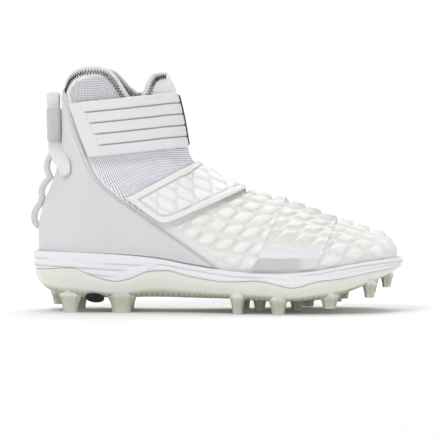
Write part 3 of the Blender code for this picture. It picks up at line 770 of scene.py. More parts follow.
def quarter_paint():
    """Smooth pale grey synthetic with a fine grain."""
    paint = Paint("smooth_synthetic", (0.66, 0.665, 0.68), 0.42, Coat_Weight=0.08)
    cloud = paint.noise(14, 2).above(0.3, 0.7)
    paint.wire("Base Color", paint.mix(cloud, (0.645, 0.65, 0.665), (0.675, 0.68, 0.695)))
    grain = paint.noise(1600, 2)
    paint.wire("Roughness", 0.38 + grain * 0.12)
    paint.relief(grain, 0.05 * MM, 0.5)
    return paint.material


def cover_paint():
    """The ribbed cover, dark in the grooves between its ribs: painted shade over a thin greyish
    line of their own.
    """
    paint = Paint("ribbed_strap", (0.84, 0.84, 0.86), 0.48, Coat_Weight=0.05)
    groove = paint.mask("groove")
    grain = paint.noise(1200, 2)
    colour = paint.mix(grain.above(0.3, 0.7), (0.71, 0.71, 0.725), (0.76, 0.76, 0.77))
    # The grooves' dark colour is mostly painted shade, with a thin greyish line of their own
    paint.wire("Base Color", paint.mix(groove, colour, (0.33, 0.32, 0.29)))
    paint.relief(grain, 0.06 * MM, 0.5)
    return paint.material


def quilt_paint():
    """The midfoot strap: a smooth panel in a woven border, with painted shade in its groove and
    between its puffs.
    """
    paint = Paint("quilted_strap", (0.80, 0.81, 0.82), 0.40, Coat_Weight=0.12)
    border, groove = paint.mask("border"), paint.mask("groove")
    tape = loops(*paint.metres(), 1.1 * MM)
    grain = paint.noise(1400, 2)
    colour = paint.mix(border, (0.84, 0.85, 0.865), (0.86, 0.86, 0.84))
    colour = paint.mix(border * tape.below(0.1, 0.5) * 0.4, colour, (0.70, 0.70, 0.66))
    # Painted shade in the groove round the panel and in the valleys between the puffs
    paint.wire("Base Color", paint.mix(groove, colour, (0.50, 0.51, 0.51)))
    paint.relief(tape * border + grain * 0.5 * (1 - border), 0.12 * MM, 0.5)
    return paint.material


# The smooth white strip at the foot of the band, on the film and on its side patch
STRIP_COLOUR = (0.79, 0.795, 0.83)


def film_paint():
    """Thin film: greyer on the leaves, knit in the valleys, white on the strip at its foot, with a
    painted shadow along its edge.
    """
    paint = Paint("film_band", (0.74, 0.74, 0.715), 0.34, Coat_Weight=0.2)
    strip, leaf, rim = paint.mask("strip"), paint.mask("leaf"), paint.mask("rim")
    knit = loops(*paint.metres(), KNIT_PITCH)
    valley = leaf.below(0.02, 0.2) * (1 - strip)
    colour = paint.mix(leaf.above(0.1, 0.5), (0.80, 0.80, 0.775), (0.735, 0.745, 0.715))
    colour = paint.mix(valley * knit.below(0.1, 0.6) * 0.5, colour, (0.60, 0.60, 0.56))
    # A dark line of painted shadow along the film's edge
    colour = paint.mix(rim, colour, (0.46, 0.46, 0.44))
    paint.wire("Base Color", paint.mix(strip, colour, STRIP_COLOUR))
    paint.relief(knit * valley, 0.15 * MM, 0.5)
    return paint.material


def patch_paint():
    """Grey film that fades into knit towards the toe."""
    paint = Paint("grey_film", (0.60, 0.60, 0.612), 0.34)
    knit = loops(*paint.metres(), KNIT_PITCH)
    fade, strip = paint.mask("fade"), paint.mask("strip")
    colour = paint.mix(fade * (0.45 + knit * 0.55), (0.57, 0.57, 0.575), (0.80, 0.80, 0.78))
    paint.wire("Base Color", paint.mix(strip, colour, STRIP_COLOUR))
    paint.relief(knit * fade, 0.2 * MM, 0.6)
    return paint.material


def webbing_paint(name, colour, pitch, shadow=0.80):
    """Woven tape and cord, darker between the yarns by the shadow's share."""
    paint = Paint(name, colour, 0.85, Sheen_Weight=0.2)
    knit = loops(*paint.metres(), pitch)
    shade = tuple(channel * shadow for channel in colour)
    paint.wire("Base Color", paint.mix(knit.below(0.0, 0.5), colour, shade))
    paint.relief(knit, 0.35 * MM, 0.7)
    return paint.material


def elastic_paint():
    """Black elastic with fine ribs along it."""
    paint = Paint("black_elastic", (0.018, 0.018, 0.020), 0.75)
    across = paint.metres()[1]
    rib = ((across / (1.6 * MM)).fract() - 0.5).size() * 2
    paint.wire("Base Color", paint.mix(rib, (0.010, 0.010, 0.012), (0.035, 0.035, 0.038)))
    paint.relief(rib, 0.3 * MM, 0.7)
    return paint.material


def foam_paint():
    """White foam, with painted shade in its grooves."""
    paint = Paint("midsole_foam", (0.85, 0.86, 0.89), 0.46)
    groove = paint.mask("groove")
    cloud = paint.noise(18, 3)
    colour = paint.mix(cloud.above(0.3, 0.7), (0.79, 0.80, 0.825), (0.82, 0.825, 0.85))
    # The grooves' darker colour is painted shade
    paint.wire("Base Color", paint.mix(groove, colour, (0.54, 0.56, 0.62)))
    paint.relief(paint.noise(900, 2), 0.04 * MM, 0.5)
    return paint.material


def plate_paint():
    """Cream plastic with a little light scattered in it, darker and ribbed at its lower edge."""
    glow = {"Subsurface_Weight": 0.25, "Subsurface_Scale": 3 * MM}
    glow["Subsurface_Radius"] = (1.0, 1.0, 0.7)
    paint = Paint("moulded_plate", (0.70, 0.71, 0.63), 0.26, Coat_Weight=0.3, IOR=1.48, **glow)
    spot = paint.node("ShaderNodeTexCoord", None, None, "Object")
    along = paint.node("ShaderNodeSeparateXYZ", None, {0: spot}, 0)
    depth = paint.mask("deep")
    cloud = paint.noise(40, 3)
    rib = ((along / (4.3 * MM)).fract() - 0.5).size() * 2
    colour = paint.mix(depth.above(0.05, 1.0), (0.75, 0.76, 0.70), (0.40, 0.42, 0.30))
    ribs = depth.above(0.6, 0.95) * rib.above(0.3, 0.8)
    colour = paint.mix(ribs * 0.6, colour, (0.24, 0.26, 0.17))
    colour = paint.mix(cloud.above(0.45, 0.75) * 0.3, colour, (0.76, 0.77, 0.72))
    paint.wire("Base Color", colour)
    return paint.material


def plain_paint(name, colour, roughness, **constants):
    return Paint(name, colour, roughness, **constants).material


def cloth_paint(name, colour):
    """Plain cloth with a soft uneven weave."""
    paint = Paint(name, colour, 0.9)
    weave = paint.noise(900, 2)
    shade = tuple(channel * 0.85 for channel in colour)
    paint.wire("Base Color", paint.mix(weave.above(0.35, 0.65), shade, colour))
    paint.relief(weave, 0.2 * MM, 0.6)
    return paint.material


# Meshes


def grid_skin(rows, columns, closed, first=0, flipped=False):
    """Faces of a grid of points, and for each corner its row and column without the wrap."""
    faces, corners = [], []
    for r in range(rows - 1):
        for c in range(columns if closed else columns - 1):
            after = (c + 1) % columns
            face = [(r, c, c), (r, after, c + 1), (r + 1, after, c + 1), (r + 1, c, c)]
            if flipped:
                face.reverse()
            faces.append([first + row * columns + column for row, column, _ in face])
            corners.append([(row, wide) for row, _, wide in face])
    return faces, corners


def grid_metres(grid, closed):
    """Metres along the columns and along the rows, for each point and the column after the last."""
    wide = np.concatenate([grid, grid[:, :1]], axis=1) if closed else grid
    across = np.linalg.norm(np.diff(wide, axis=1), axis=2)
    along = np.linalg.norm(np.diff(wide, axis=0), axis=2)
    u = np.concatenate([np.zeros((len(grid), 1)), np.cumsum(across, axis=1)], axis=1)
    v = np.concatenate([np.zeros((1, wide.shape[1])), np.cumsum(along, axis=0)], axis=0)
    return np.stack([u, v], axis=-1)


def add_piece(name, points, faces, metres, paint, node, replaces=True, masks=None, flat=False):
    """A mesh piece of a node of the frame, with its map in metres and its painted masks."""
    mesh = bpy.data.meshes.new(name)
    mesh.from_pydata(np.asarray(points).tolist(), [], [list(face) for face in faces])
    if metres is not None:
        spots = mesh.uv_layers.new(name="metres")
        spots.data.foreach_set("uv", np.asarray(metres, np.float32).ravel())
    for key, values in (masks or {}).items():
        mask = mesh.attributes.new(key, "FLOAT", "POINT")
        mask.data.foreach_set("value", np.asarray(values, np.float32).ravel())
    mesh.polygons.foreach_set("use_smooth", [not flat] * len(mesh.polygons))
    mesh.materials.append(paint)
    mesh.update()
    piece = bpy.data.objects.new(name, mesh)
    bpy.context.scene.collection.objects.link(piece)
    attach(piece, "root")
    if replaces:
        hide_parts(node)
    return piece


def sheet_piece(name, grid, low, high, paint, node, masks=None):
    """A thin solid over a grid of surface points, from low to high above it along the normals."""
    normals = grid_normals(grid, False)
    rows, columns = grid.shape[:2]
    low = np.broadcast_to(low, (rows, columns))[..., None]
    high = np.broadcast_to(high, (rows, columns))[..., None]
    outer = grid + normals * high
    points = np.concatenate([outer.reshape(-1, 3), (grid + normals * low).reshape(-1, 3)])
    metres = grid_metres(grid, False)
    faces, corners = grid_skin(rows, columns, False)
    under, under_corners = grid_skin(rows, columns, False, rows * columns, True)
    faces += under
    corners += under_corners
    # The wall between the upper and lower faces, round the sheet's border
    edge = [(0, c) for c in range(columns)]
    edge += [(r, columns - 1) for r in range(1, rows)]
    edge += [(rows - 1, c) for c in reversed(range(columns - 1))]
    edge += [(r, 0) for r in reversed(range(1, rows - 1))]
    for i, (r, c) in enumerate(edge):
        next_r, next_c = edge[(i + 1) % len(edge)]
        a, b = r * columns + c, next_r * columns + next_c
        faces.append([b, a, rows * columns + a, rows * columns + b])
        corners.append([(next_r, next_c), (r, c), (r, c), (next_r, next_c)])
    spots = [metres[corner] for face in corners for corner in face]
    doubled = {key: np.tile(np.ravel(mask), 2) for key, mask in (masks or {}).items()}
    return add_piece(name, points, faces, spots, paint, node, masks=doubled)


def edge_distance(grid):
    """Distance from each point of a sheet to the nearest point of its border."""
    border = np.concatenate([grid[0], grid[-1], grid[:, 0], grid[:, -1]])
    spots = grid.reshape(-1, 3)
    squares = (spots**2).sum(axis=1)[:, None] - 2 * spots @ border.T + (border**2).sum(axis=1)
    nearest = np.clip(squares.min(axis=1), 0, None)
    return np.sqrt(nearest).reshape(grid.shape[:2])


def edge_roll(distance, width):
    """Rounds a sheet's border: 0 at the edge and 1 from a width inwards."""
    return np.sqrt(1 - (1 - np.clip(distance / width, 0, 1)) ** 2)


# Steps in from a sheet's end, as shares of its border
END_STEPS = np.array([0, 0.12, 0.35, 0.7, 1.2, 2.0])


def edged(count, border=0.004):
    """Steps from 0 to 1 with more of them at both ends."""
    inner = np.linspace(border * 3, 1 - border * 3, count)
    ends = END_STEPS * border
    return np.concatenate([ends, inner, 1 - ends[::-1]])


def facing_out(grid, *others):
    """The grid with its rows turned round where its normals would point into the shoe."""
    normals = grid_normals(grid, False)
    middle = grid.mean(axis=(0, 1))
    middle[1] = 0.0
    if ((grid - middle) * normals).sum() > 0:
        return (grid, *others)
    return (grid[::-1], *[other[::-1] for other in others])


def wrap_grid(outer_ends, ridge_rises, inner_ends, shares):
    """Rows over the front line of the upper, with the places of the side view and the side.

    The ends are places of the side view, one for each row. A share of -1 is the outer end,
    0 the front line and 1 the inner end.
    """
    side = np.where(shares < 0, -1.0, 1.0)
    sweep = 1 - np.cos(math.pi / 2 * np.abs(shares))
    lines, spots = [], []
    for outer, rise, inner in zip(outer_ends, ridge_rises, inner_ends):
        ridge = ridge_point(rise)
        ends = np.where(shares[:, None] < 0, outer, inner)
        spot = ridge + (ends - ridge) * sweep[:, None]
        lines.append(place(spot[:, 0], upper_y(spot[:, 0], spot[:, 1], side), spot[:, 1]))
        spots.append(spot)
    sides = np.broadcast_to(side, (len(lines), len(side)))
    return np.stack(lines), np.stack(spots), sides


def ends_between(ends, shares):
    """Places of the side view between a strap's two corners."""
    first, last = in_metres(ends[0]), in_metres(ends[1])
    return [first + (last - first) * share for share in shares]


def strap_wrap(strap, across, reach):
    """The grid of a strap with straight ends, at shares across its width and along its reach."""
    first, last = strap.rises
    heights = [first + (last - first) * share for share in across]
    outer, inner = ends_between(strap.end, across), ends_between(strap.inner_end, across)
    return wrap_grid(outer, heights, inner, reach)


def ring_piece(name, rings, paint, node, replaces=True, tube=False, masks=None):
    """A solid of closed rings, either capped below and above or running round a wall."""
    grid = np.stack(rings)
    if tube:
        grid = np.concatenate([grid, grid[:1]])
    count = grid.shape[1]
    faces, corners = grid_skin(len(grid), count, True)
    if tube:
        faces = [[i % ((len(grid) - 1) * count) for i in face] for face in faces]
    metres = grid_metres(grid, True)
    spots = [metres[corner] for face in corners for corner in face]
    if tube:
        grid = grid[:-1]
    else:
        # Each end is closed by strips across from side to side
        for row, up in ((0, False), (len(grid) - 1, True)):
            first = row * count
            for i in range(count // 2):
                near, far = (count - i) % count, (count - i - 1) % count
                face = list(dict.fromkeys([i, i + 1, far, near]))
                face = face if up else face[::-1]
                faces.append([first + k for k in face])
                spots += [grid[row, k, :2] for k in face]
    return add_piece(name, grid.reshape(-1, 3), faces, spots, paint, node, replaces, masks)


# Pieces

# Soft creases of the ankle and vamp, outer side and inner side alike. From and to are places of
# the side view, wide and deep are in millimetres, and a negative depth is a ridge.
CREASES = (
    ("along", "rise", "to_along", "to_rise", "wide", "deep"),
    (0.165, 0.475, 0.330, 0.520, 4.5, 1.35),
    (0.180, 0.420, 0.360, 0.480, 5.0, -1.20),
    (0.250, 0.330, 0.330, 0.370, 3.5, 1.20),
    (0.335, 0.500, 0.365, 0.440, 3.0, 1.20),
    (0.350, 0.540, 0.410, 0.500, 3.5, 1.05),
    (0.215, 0.360, 0.300, 0.430, 4.0, 0.90),
    (0.130, 0.900, 0.250, 0.920, 6.0, 0.90),
)
CREASES_FROM = 85 * MM
CREASES_OVER = 20 * MM


def crease_relief(x, z):
    """How far the creases lift the cloth off the last, negative in a trough."""
    relief = np.zeros(np.shape(x))
    for crease in named_rows(CREASES):
        first = in_metres((crease["along"], crease["rise"]))
        last = in_metres((crease["to_along"], crease["to_rise"]))
        way = last - first
        share = ((x - first[0]) * way[0] + (z - first[1]) * way[1]) / (way @ way)
        ends = smoothstep((share + 0.25) / 0.5) * smoothstep((1.25 - share) / 0.5)
        aside = before_line(x, z, first, last)
        relief = relief - crease["deep"] * MM * soft_line(aside, crease["wide"] * MM) * ends
    return relief * smoothstep((z - CREASES_FROM) / CREASES_OVER)


# Rings of the upper's outside: up to the ankle's level, and finer ones up to the collar
FOOT_RINGS = 89
COLLAR_RINGS = 43
ANKLE_LEVEL = 0.55

# How much less the collar dips on the inner side of the foot, and where that is: the turn at
# which it starts and ends, with the spans over which it eases, and the level it fades in from
INNER_RAISE = 7.5 * MM
RAISE_FROM, RAISE_IN = 0.52, 0.12
RAISE_TO, RAISE_OUT = 0.75, 0.08
RAISE_LEVEL = 0.6

Skin = namedtuple("Skin", "last outer x z normals leaf")


def bootie_skin():
    """The upper's outside: the plain last, the same with its relief, and what lies on each point.

    That is its place in the side view, the last's normal and the share of a leaf's height.
    """
    turn, side = both_sides(UPPER_STATIONS, *UPPER_REAR)
    foot = np.linspace(0, ANKLE_LEVEL, FOOT_RINGS)
    levels = np.concatenate([foot, np.linspace(ANKLE_LEVEL, 1, COLLAR_RINGS)[1:]])
    lines = [ring_line(level, turn) for level in levels]
    x = np.stack([line[0] for line in lines])
    z = np.stack([line[1] for line in lines])
    sides = np.broadcast_to(side, x.shape)
    dip = smoothstep((turn - RAISE_FROM) / RAISE_IN) * smoothstep((RAISE_TO - turn) / RAISE_OUT)
    high = smoothstep((levels[:, None] - RAISE_LEVEL) / (1 - RAISE_LEVEL))
    z = z + INNER_RAISE * dip * (side > 0) * high
    grid = place(x, upper_y(x, z, sides), z)
    normals = grid_normals(grid, True)
    relief, share = leaf_relief(x, z, sides)
    outer = grid + normals * (relief + crease_relief(x, z))[..., None]
    return Skin(grid, outer, x, z, normals, share)


# The collar's length in the side view, and the step of turn by which its slope is read
COLLAR_LENGTH = 95 * MM
TURN_STEP = 0.01


def level_share(turn):
    """1 where the collar runs level, less where it climbs."""
    before, after = (COLLAR.at("rise", turn + step) for step in (-TURN_STEP, TURN_STEP))
    ahead = TURN_STEP * math.pi * np.sin(math.pi * np.clip(turn, 0.1, 0.9)) * COLLAR_LENGTH
    return ahead / np.hypot(ahead, (after - before) * UPPER_RISE)


# The ankle's mesh starts beyond the quarter's edge, ends under the midfoot strap and below the
# collar's plain band, and leaves the tongue's front plain
MESH_CLEAR = 2 * MM
MESH_UNDER_STRAP = 16 * MM
COLLAR_BAND = 7.6 * MM
TONGUE_TURN = 0.60
TONGUE_RISE = 0.80
# From here up the mesh is painted darker, holes and yarn alike: painted shade of the empty shoe's
# inside seen through it
INSIDE_SHADE_FROM = 150 * MM
INSIDE_SHADE_OVER = 12 * MM


def mesh_mask(x, z, turn):
    """1 where the ankle's open mesh shows."""
    rise = rise_of(z)
    rises, alongs = (QUARTER_EDGE.columns[name][::-1] for name in ("rise", "along"))
    clear = smoothstep((x - np.interp(rise, rises, alongs) * LENGTH - MESH_CLEAR) / MM)
    strap = before_line(x, z, in_metres(MIDFOOT_STRAP.end[0]), ridge_point(MIDFOOT_STRAP.rises[0]))
    behind = smoothstep((MESH_UNDER_STRAP - strap) / MM)
    collar = height_of(COLLAR.at("rise", turn))
    low = smoothstep(((collar - z) * level_share(turn) - COLLAR_BAND) / MM)
    tongue = smoothstep((TONGUE_TURN - turn) / 0.02) + smoothstep((TONGUE_RISE - rise) / 0.01)
    return clear * behind * low * np.clip(tongue, 0, 1)


# The ring of the upper and the line up it by which the ankle's mesh is laid out
ANKLE_ROW = 110
ANKLE_COLUMN = 100
# Rings of the lining, and how much thicker than WALL the cloth is halfway up
LINING_RINGS = 16
LINING_BULK = 0.9 * MM


def make_bootie(skin):
    """The knit upper as one wall: up its outside, over the collar and down its lining."""
    turn, side = both_sides(UPPER_STATIONS, *UPPER_REAR)
    foot_x, foot_z = ring_line(0.0, turn)
    foot = place(foot_x, upper_y(foot_x, foot_z, side), foot_z)
    footbed = sole_height("footbed", foot_x) + FIT
    count = len(skin.last)
    chosen = np.linspace(0, count - 1, LINING_RINGS).astype(int)[::-1]
    bulk = WALL + LINING_BULK * np.sin(math.pi * np.linspace(0, 1, count))
    inner = (skin.last - skin.normals * bulk[:, None, None])[chosen]
    inner[-1] = pushed(foot, -WALL)
    rings = [at_height(foot, footbed), *skin.outer, *inner, at_height(inner[-1], footbed)]
    shape = (len(rings), len(turn))

    def outside(values):
        mask = np.zeros(shape)
        mask[1 : count + 1] = values
        return mask

    lining = np.zeros(shape)
    lining[count] = 0.5
    lining[count + 1 :] = 1
    climb = reach_along(skin.last[:, ANKLE_COLUMN])
    up = np.concatenate([[0], climb, climb[chosen], [0]])
    masks = {
        "mesh": outside(mesh_mask(skin.x, skin.z, turn)),
        # Where the mesh's top gets its painted shade
        "open": outside(smoothstep((skin.z - INSIDE_SHADE_FROM) / INSIDE_SHADE_OVER)),
        "leaf": outside(skin.leaf),
        "inside": lining,
        "around": np.broadcast_to(reach_along(skin.last[ANKLE_ROW]), shape),
        "up": np.broadcast_to(up[:, None], shape),
    }
    paint = bootie_paint()
    ring_piece("bootie", rings, paint, "upper", tube=True, masks=masks)


def squared_off(wave, power):
    """A sine or cosine with flatter ends, for sections between an oval and a box."""
    return np.sign(wave) * np.abs(wave) ** power


def swept_rings(path, across, width, thickness, sides, closed=False, power=0.8):
    """Oval sections along a path, whose width lies along across."""
    path = np.asarray(path)
    if closed:
        along = np.roll(path, -1, axis=0) - np.roll(path, 1, axis=0)
    else:
        along = np.gradient(path, axis=0)
    along = unit(along)
    across = np.broadcast_to(across, path.shape)
    across = unit(across - along * (across * along).sum(axis=1, keepdims=True))
    out = np.cross(along, across)
    angle = 2 * math.pi * (np.arange(sides) + 0.5) / sides
    wide = squared_off(np.cos(angle), power)[None, :, None] / 2
    thick = squared_off(np.sin(angle), power)[None, :, None] / 2
    width = np.broadcast_to(width, len(path))[:, None, None]
    thickness = np.broadcast_to(thickness, len(path))[:, None, None]
    return path[:, None] + across[:, None] * wide * width + out[:, None] * thick * thickness


BINDING_WIDTH = 3.3 * MM
BINDING_THICKNESS = 2.7 * MM
BINDING_DROP = 0.4 * MM


def make_binding(skin):
    """The bound edge of the collar."""
    path = skin.last[-1] - skin.normals[-1] * WALL / 2
    path[:, 2] -= BINDING_DROP
    rings = swept_rings(path, skin.normals[-1], BINDING_WIDTH, BINDING_THICKNESS, 12, closed=True)
    paint = webbing_paint("cream_binding", (0.90, 0.90, 0.88), 1.0 * MM, 0.9)
    ring_piece("collar_binding", rings, paint, "upper", replaces=False, tube=True)


# The collar's sewing: the pitch of its corners, and how far below the edge they lie
ZIGZAG_PITCH = 2.6 * MM
ZIGZAG_NEAR = 2.1 * MM
ZIGZAG_FAR = 5.6 * MM


def zigzag(skin, far, lift):
    """Corners of the sewing along the collar's edge, a whole number of them round the ring."""
    edge = skin.outer[-1]
    reach = reach_along(np.concatenate([edge, edge[:1]]))
    corners = int(round(reach[-1] / ZIGZAG_PITCH)) * 2
    places = np.arange(corners) / corners * reach[-1]
    stations = np.interp(places, reach, np.arange(len(reach)))
    run = unit(np.roll(edge, -3, axis=0) - np.roll(edge, 3, axis=0))
    inward = unit(np.cross(skin.normals[-1], run))
    inward = inward * np.sign(((skin.outer[-6] - edge) * inward).sum())
    before = np.floor(stations).astype(int)
    part = (stations - before)[:, None]
    here, after = before % len(edge), (before + 1) % len(edge)
    spots = edge[here] * (1 - part) + edge[after] * part
    depth = np.where(np.arange(corners) % 2 == 0, ZIGZAG_NEAR, far)[:, None]
    spots = spots + depth * (inward[here] * (1 - part) + inward[after] * part)
    # Each corner is then lifted off the nearest point of the cloth
    cloth = skin.outer[-COLLAR_RINGS:].reshape(-1, 3)
    facing = skin.normals[-COLLAR_RINGS:].reshape(-1, 3)
    closest = np.array([((cloth - spot) ** 2).sum(axis=1).argmin() for spot in spots])
    above = ((spots - cloth[closest]) * facing[closest]).sum(axis=1, keepdims=True)
    return spots + facing[closest] * (lift - above)


# The quarter's top edge lies below the collar, and its lower edge over the rim. Its seams run
# that far in from its front edges, and the inner edge is flatter than the outer one.
QUARTER_DROP = 4 * MM
QUARTER_FOOT = 1 * MM
QUARTER_SEAMS = (1.8 * MM, 4.3 * MM)
INNER_KEEPS = 0.3


def quarter_grid(downs, shares):
    """Rows round the heel from the collar down, from the outer front edge to the inner one."""
    side = np.where(shares < 0, -1.0, 1.0)
    sweep = 1 - np.cos(math.pi / 2 * np.abs(shares))
    middle = len(shares) // 2
    back_top = height_of(COLLAR.at("rise", 0.0)) - QUARTER_DROP
    back_low = sole_height("top", 0.0) + QUARTER_FOOT
    lines = []
    for down in downs:
        edge_x = QUARTER_EDGE.at("along", down) * LENGTH
        edge_z = height_of(QUARTER_EDGE.at("rise", down))
        back_z = back_top + (back_low - back_top) * down
        inner_x = min(edge_x, INNER_QUARTER + (edge_x - INNER_QUARTER) * INNER_KEEPS)
        reach = np.where(side < 0, edge_x, inner_x)
        x = heel_x(back_z) + (reach - heel_x(back_z)) * sweep
        z = back_z + (edge_z - back_z) * sweep
        rim = sole_height("top", x) + 0.1 * MM
        ends = rim[middle] + (rim[0] - rim[middle]) * sweep
        z = np.maximum(z + (rim - ends) * down**2, rim)
        lines.append(place(x, upper_y(x, z, side), z))
    return np.stack(lines)


def make_quarter():
    """The smooth quarter round the heel, with channels under its seams and a thin lower edge."""
    (grid,) = facing_out(quarter_grid(edged(70), edged(170, 0.003) * 2 - 1))
    metres = grid_metres(grid, False)
    aside = np.minimum(metres[..., 0], metres[:, -1:, 0] - metres[..., 0])
    starts_high = grid[0, :, 2].mean() > grid[-1, :, 2].mean()
    top = metres[..., 1] if starts_high else metres[-1:, :, 1] - metres[..., 1]
    roll = edge_roll(np.minimum(aside, top), 1.3 * MM)
    channel = sum(soft_line(aside - row, 0.45 * MM) for row in QUARTER_SEAMS)
    swell = 0.35 * MM * smoothstep((aside - 5.5 * MM) / (3 * MM))
    thinned = 0.3 * MM * smoothstep((3 * MM - (metres[..., 1].max() - top)) / (3 * MM))
    high = QUARTER_LAY - 0.5 * MM + (QUARTER_THICKNESS + 0.2 * MM) * roll
    high = high - 0.22 * MM * channel + swell - thinned
    sheet_piece("heel_quarter_skin", grid, 0.2 * MM, high, quarter_paint(), "heel_quarter")
    return grid, high


def seam_runs(grid, high, distance, pitch, lift):
    """Points, directions and facings of the seams that far in from both ends of a sheet."""
    normals = grid_normals(grid, False)
    surface = grid + normals * (high[..., None] + lift)
    metres = grid_metres(surface, False)[..., 0]
    seams = []
    for where in (np.full(len(grid), distance), metres[:, -1] - distance):
        crossings = [(where[r : r + 1], metres[r]) for r in range(len(grid))]
        line = np.concatenate([sampled(*row, spots) for row, spots in zip(crossings, surface)])
        facing = np.concatenate([sampled(*row, ways) for row, ways in zip(crossings, normals)])
        reach = reach_along(line)
        stops = np.arange(pitch, reach[-1] - pitch, pitch)
        line, facing = sampled(stops, reach, line), sampled(stops, reach, facing)
        seams.append((line, unit(np.gradient(line, axis=0)), unit(facing)))
    return [np.concatenate(parts) for parts in zip(*seams)]


def make_elastic():
    """The black elastic base of the ankle strap, seen at the front and on the inner side."""
    across, reach = np.linspace(0.03, 0.97, 30), np.linspace(-0.97, 1.0, 130)
    (grid,) = facing_out(strap_wrap(ANKLE_STRAP, across, reach)[0])
    high = LAY + ELASTIC_THICKNESS * edge_roll(edge_distance(grid), 1.0 * MM)
    sheet_piece("ankle_band", grid, 0.3 * MM, high, elastic_paint(), "ankle_elastic")


# Steps across one rib of the cover, the flat tab at its outer end, and the tab's pressed seam
RIB_STEPS = (0.02, 0.05, 0.09, 0.15, 0.25, 0.375, 0.50, 0.625, 0.75, 0.85, 0.91, 0.95, 0.98)
TAB_WIDTH = 11.5 * MM
TAB_SEAM = 11.0 * MM


def make_cover():
    """Padded ribs side by side, which run out of a flat stitched tab at the outer end."""
    ribs = range(STRAP_RIBS)
    across = np.concatenate([(rib + np.array(RIB_STEPS)) / STRAP_RIBS for rib in ribs])
    across = np.clip(across, 0.004, 0.996)
    reach = -1.0 + edged(90, 0.006) * (1.0 + COVER_REACH)
    grid = strap_wrap(ANKLE_STRAP, across, reach)[0]
    grid, across = facing_out(grid, np.broadcast_to(across[:, None], grid.shape[:2]))
    rib = (across * STRAP_RIBS) % 1.0
    between = np.minimum(rib, 1 - rib)
    aside = grid_metres(grid, False)[..., 0]
    on_ribs = smoothstep((aside - TAB_WIDTH) / (1.5 * MM))
    pad = 1 - np.abs(2 * rib - 1) ** 7
    inside = (across >= 0.02) & (across <= 0.98)
    groove = soft_line(between, 0.055) * on_ribs * inside
    base = LAY + ELASTIC_THICKNESS + 0.3 * MM
    roll = edge_roll(edge_distance(grid), 1.1 * MM)
    high = base + COVER_THICKNESS * roll * (0.66 + 0.34 * pad * on_ribs) - 1.1 * MM * groove
    high = high - 0.25 * MM * soft_line(aside - TAB_SEAM, 0.4 * MM)
    high = high - 0.12 * MM * (1 - on_ribs) * soft_line(between, 0.08)
    # The groove mask paints shade into the grooves as well as cutting them
    masks = {"groove": groove}
    piece = sheet_piece("ankle_cover_ribs", grid, base, high, cover_paint(), "ankle_cover", masks)
    return grid, high


# The midfoot strap's bound frame, and how far its front edge stands up, fading over a length
FRAME_WIDTH = 4.8 * MM
FRAME_LIFT = 1.7 * MM
FRAME_LIFT_OVER = 7 * MM
QUILT_WIDTH = 36 * MM
QUILT_TILT = -8
# The outer end's lower corner is drawn out by so much in the side view
QUILT_CORNER = np.array([6.0, 4.2]) * MM


def make_quilt():
    """The midfoot strap: a bound frame round a panel of quilted leaves."""
    down = edged(56)
    corner = np.clip((down - 0.76) / 0.24, 0, 1) ** 2.5
    outer = np.array(ends_between(MIDFOOT_STRAP.end, down)) + QUILT_CORNER * corner[:, None]
    first, last = MIDFOOT_STRAP.rises
    inner = ends_between(MIDFOOT_STRAP.inner_end, down)
    reach = edged(190, 0.003) * 2 - 1
    grid, _, sides = wrap_grid(outer, first + (last - first) * down, inner, reach)
    down = np.broadcast_to(down[:, None], sides.shape)
    grid, sides, down = facing_out(grid, sides, down)
    distance = edge_distance(grid)
    metres = grid_metres(grid, False)
    border = 1 - smoothstep((distance - FRAME_WIDTH) / (0.5 * MM))
    groove = soft_line(distance - FRAME_WIDTH - 0.7 * MM, 0.7 * MM)
    across = (metres[..., 1] - metres[-1:, :, 1] / 2) * np.sign(down[-1, 0] - down[0, 0])
    puffs = leaf_rows(across, metres[..., 0], QUILT_LEAVES, QUILT_TILT * sides)
    panel = smoothstep((distance - FRAME_WIDTH - 0.6 * MM) / (2.2 * MM))
    tape = border * (1 - 0.35 * soft_line(distance - FRAME_WIDTH / 2, 0.35 * MM))
    thick = QUILT_THICKNESS * (0.38 + 0.62 * puffs * panel + 0.50 * tape)
    stand = FRAME_LIFT * soft_line((1 - down) * QUILT_WIDTH, FRAME_LIFT_OVER)
    high = STRAP_LAY - 0.3 * MM + thick * edge_roll(distance, 1.2 * MM) + stand
    low = STRAP_LAY - 0.7 * MM + stand
    # The groove mask is painted shade: at the panel's edge and between the puffs
    masks = {"border": border, "groove": np.maximum(groove * 0.8, (1 - puffs) ** 2 * panel * 0.30)}
    paint = quilt_paint()
    piece = sheet_piece("midfoot_strap_quilt", grid, low, high, paint, "midfoot_strap", masks)


def make_band():
    """The thin film over the leaves, smooth at its outer foot."""
    reach = edged(230, 0.003) * 2 - 1
    grid, spots, sides = facing_out(*strap_wrap(FOREFOOT_BAND, edged(64), reach))
    x, z = spots[..., 0], spots[..., 1]
    calm = band_calm(x, z, sides)
    leaves = leaf_field(*vamp_place(x, z, sides)) * vamp_mask(x, z, sides) * calm * FILM_SHOWS
    distance = edge_distance(grid)
    bead = 0.45 * MM * soft_line(distance - 0.9 * MM, 0.6 * MM)
    high = 0.25 * MM + 0.45 * MM * edge_roll(distance, 0.6 * MM) + leaves * LEAF_RISE + bead
    high = np.maximum(high, leaf_relief(x, z, sides)[0] + 0.12 * MM)
    masks = {
        "strip": (1 - calm) * (sides < 0),
        "leaf": leaves,
        # A painted shadow line along the film's edge
        "rim": soft_line(distance, 0.5 * MM) * 0.9,
    }
    low = 0.05 * MM
    sheet_piece("forefoot_film", grid, low, high, film_paint(), "forefoot_band", masks)


# The side patch fades into knit ahead of this place, and is white above this height
PATCH_FADES = 213 * MM
PATCH_STRIP = 44.6 * MM


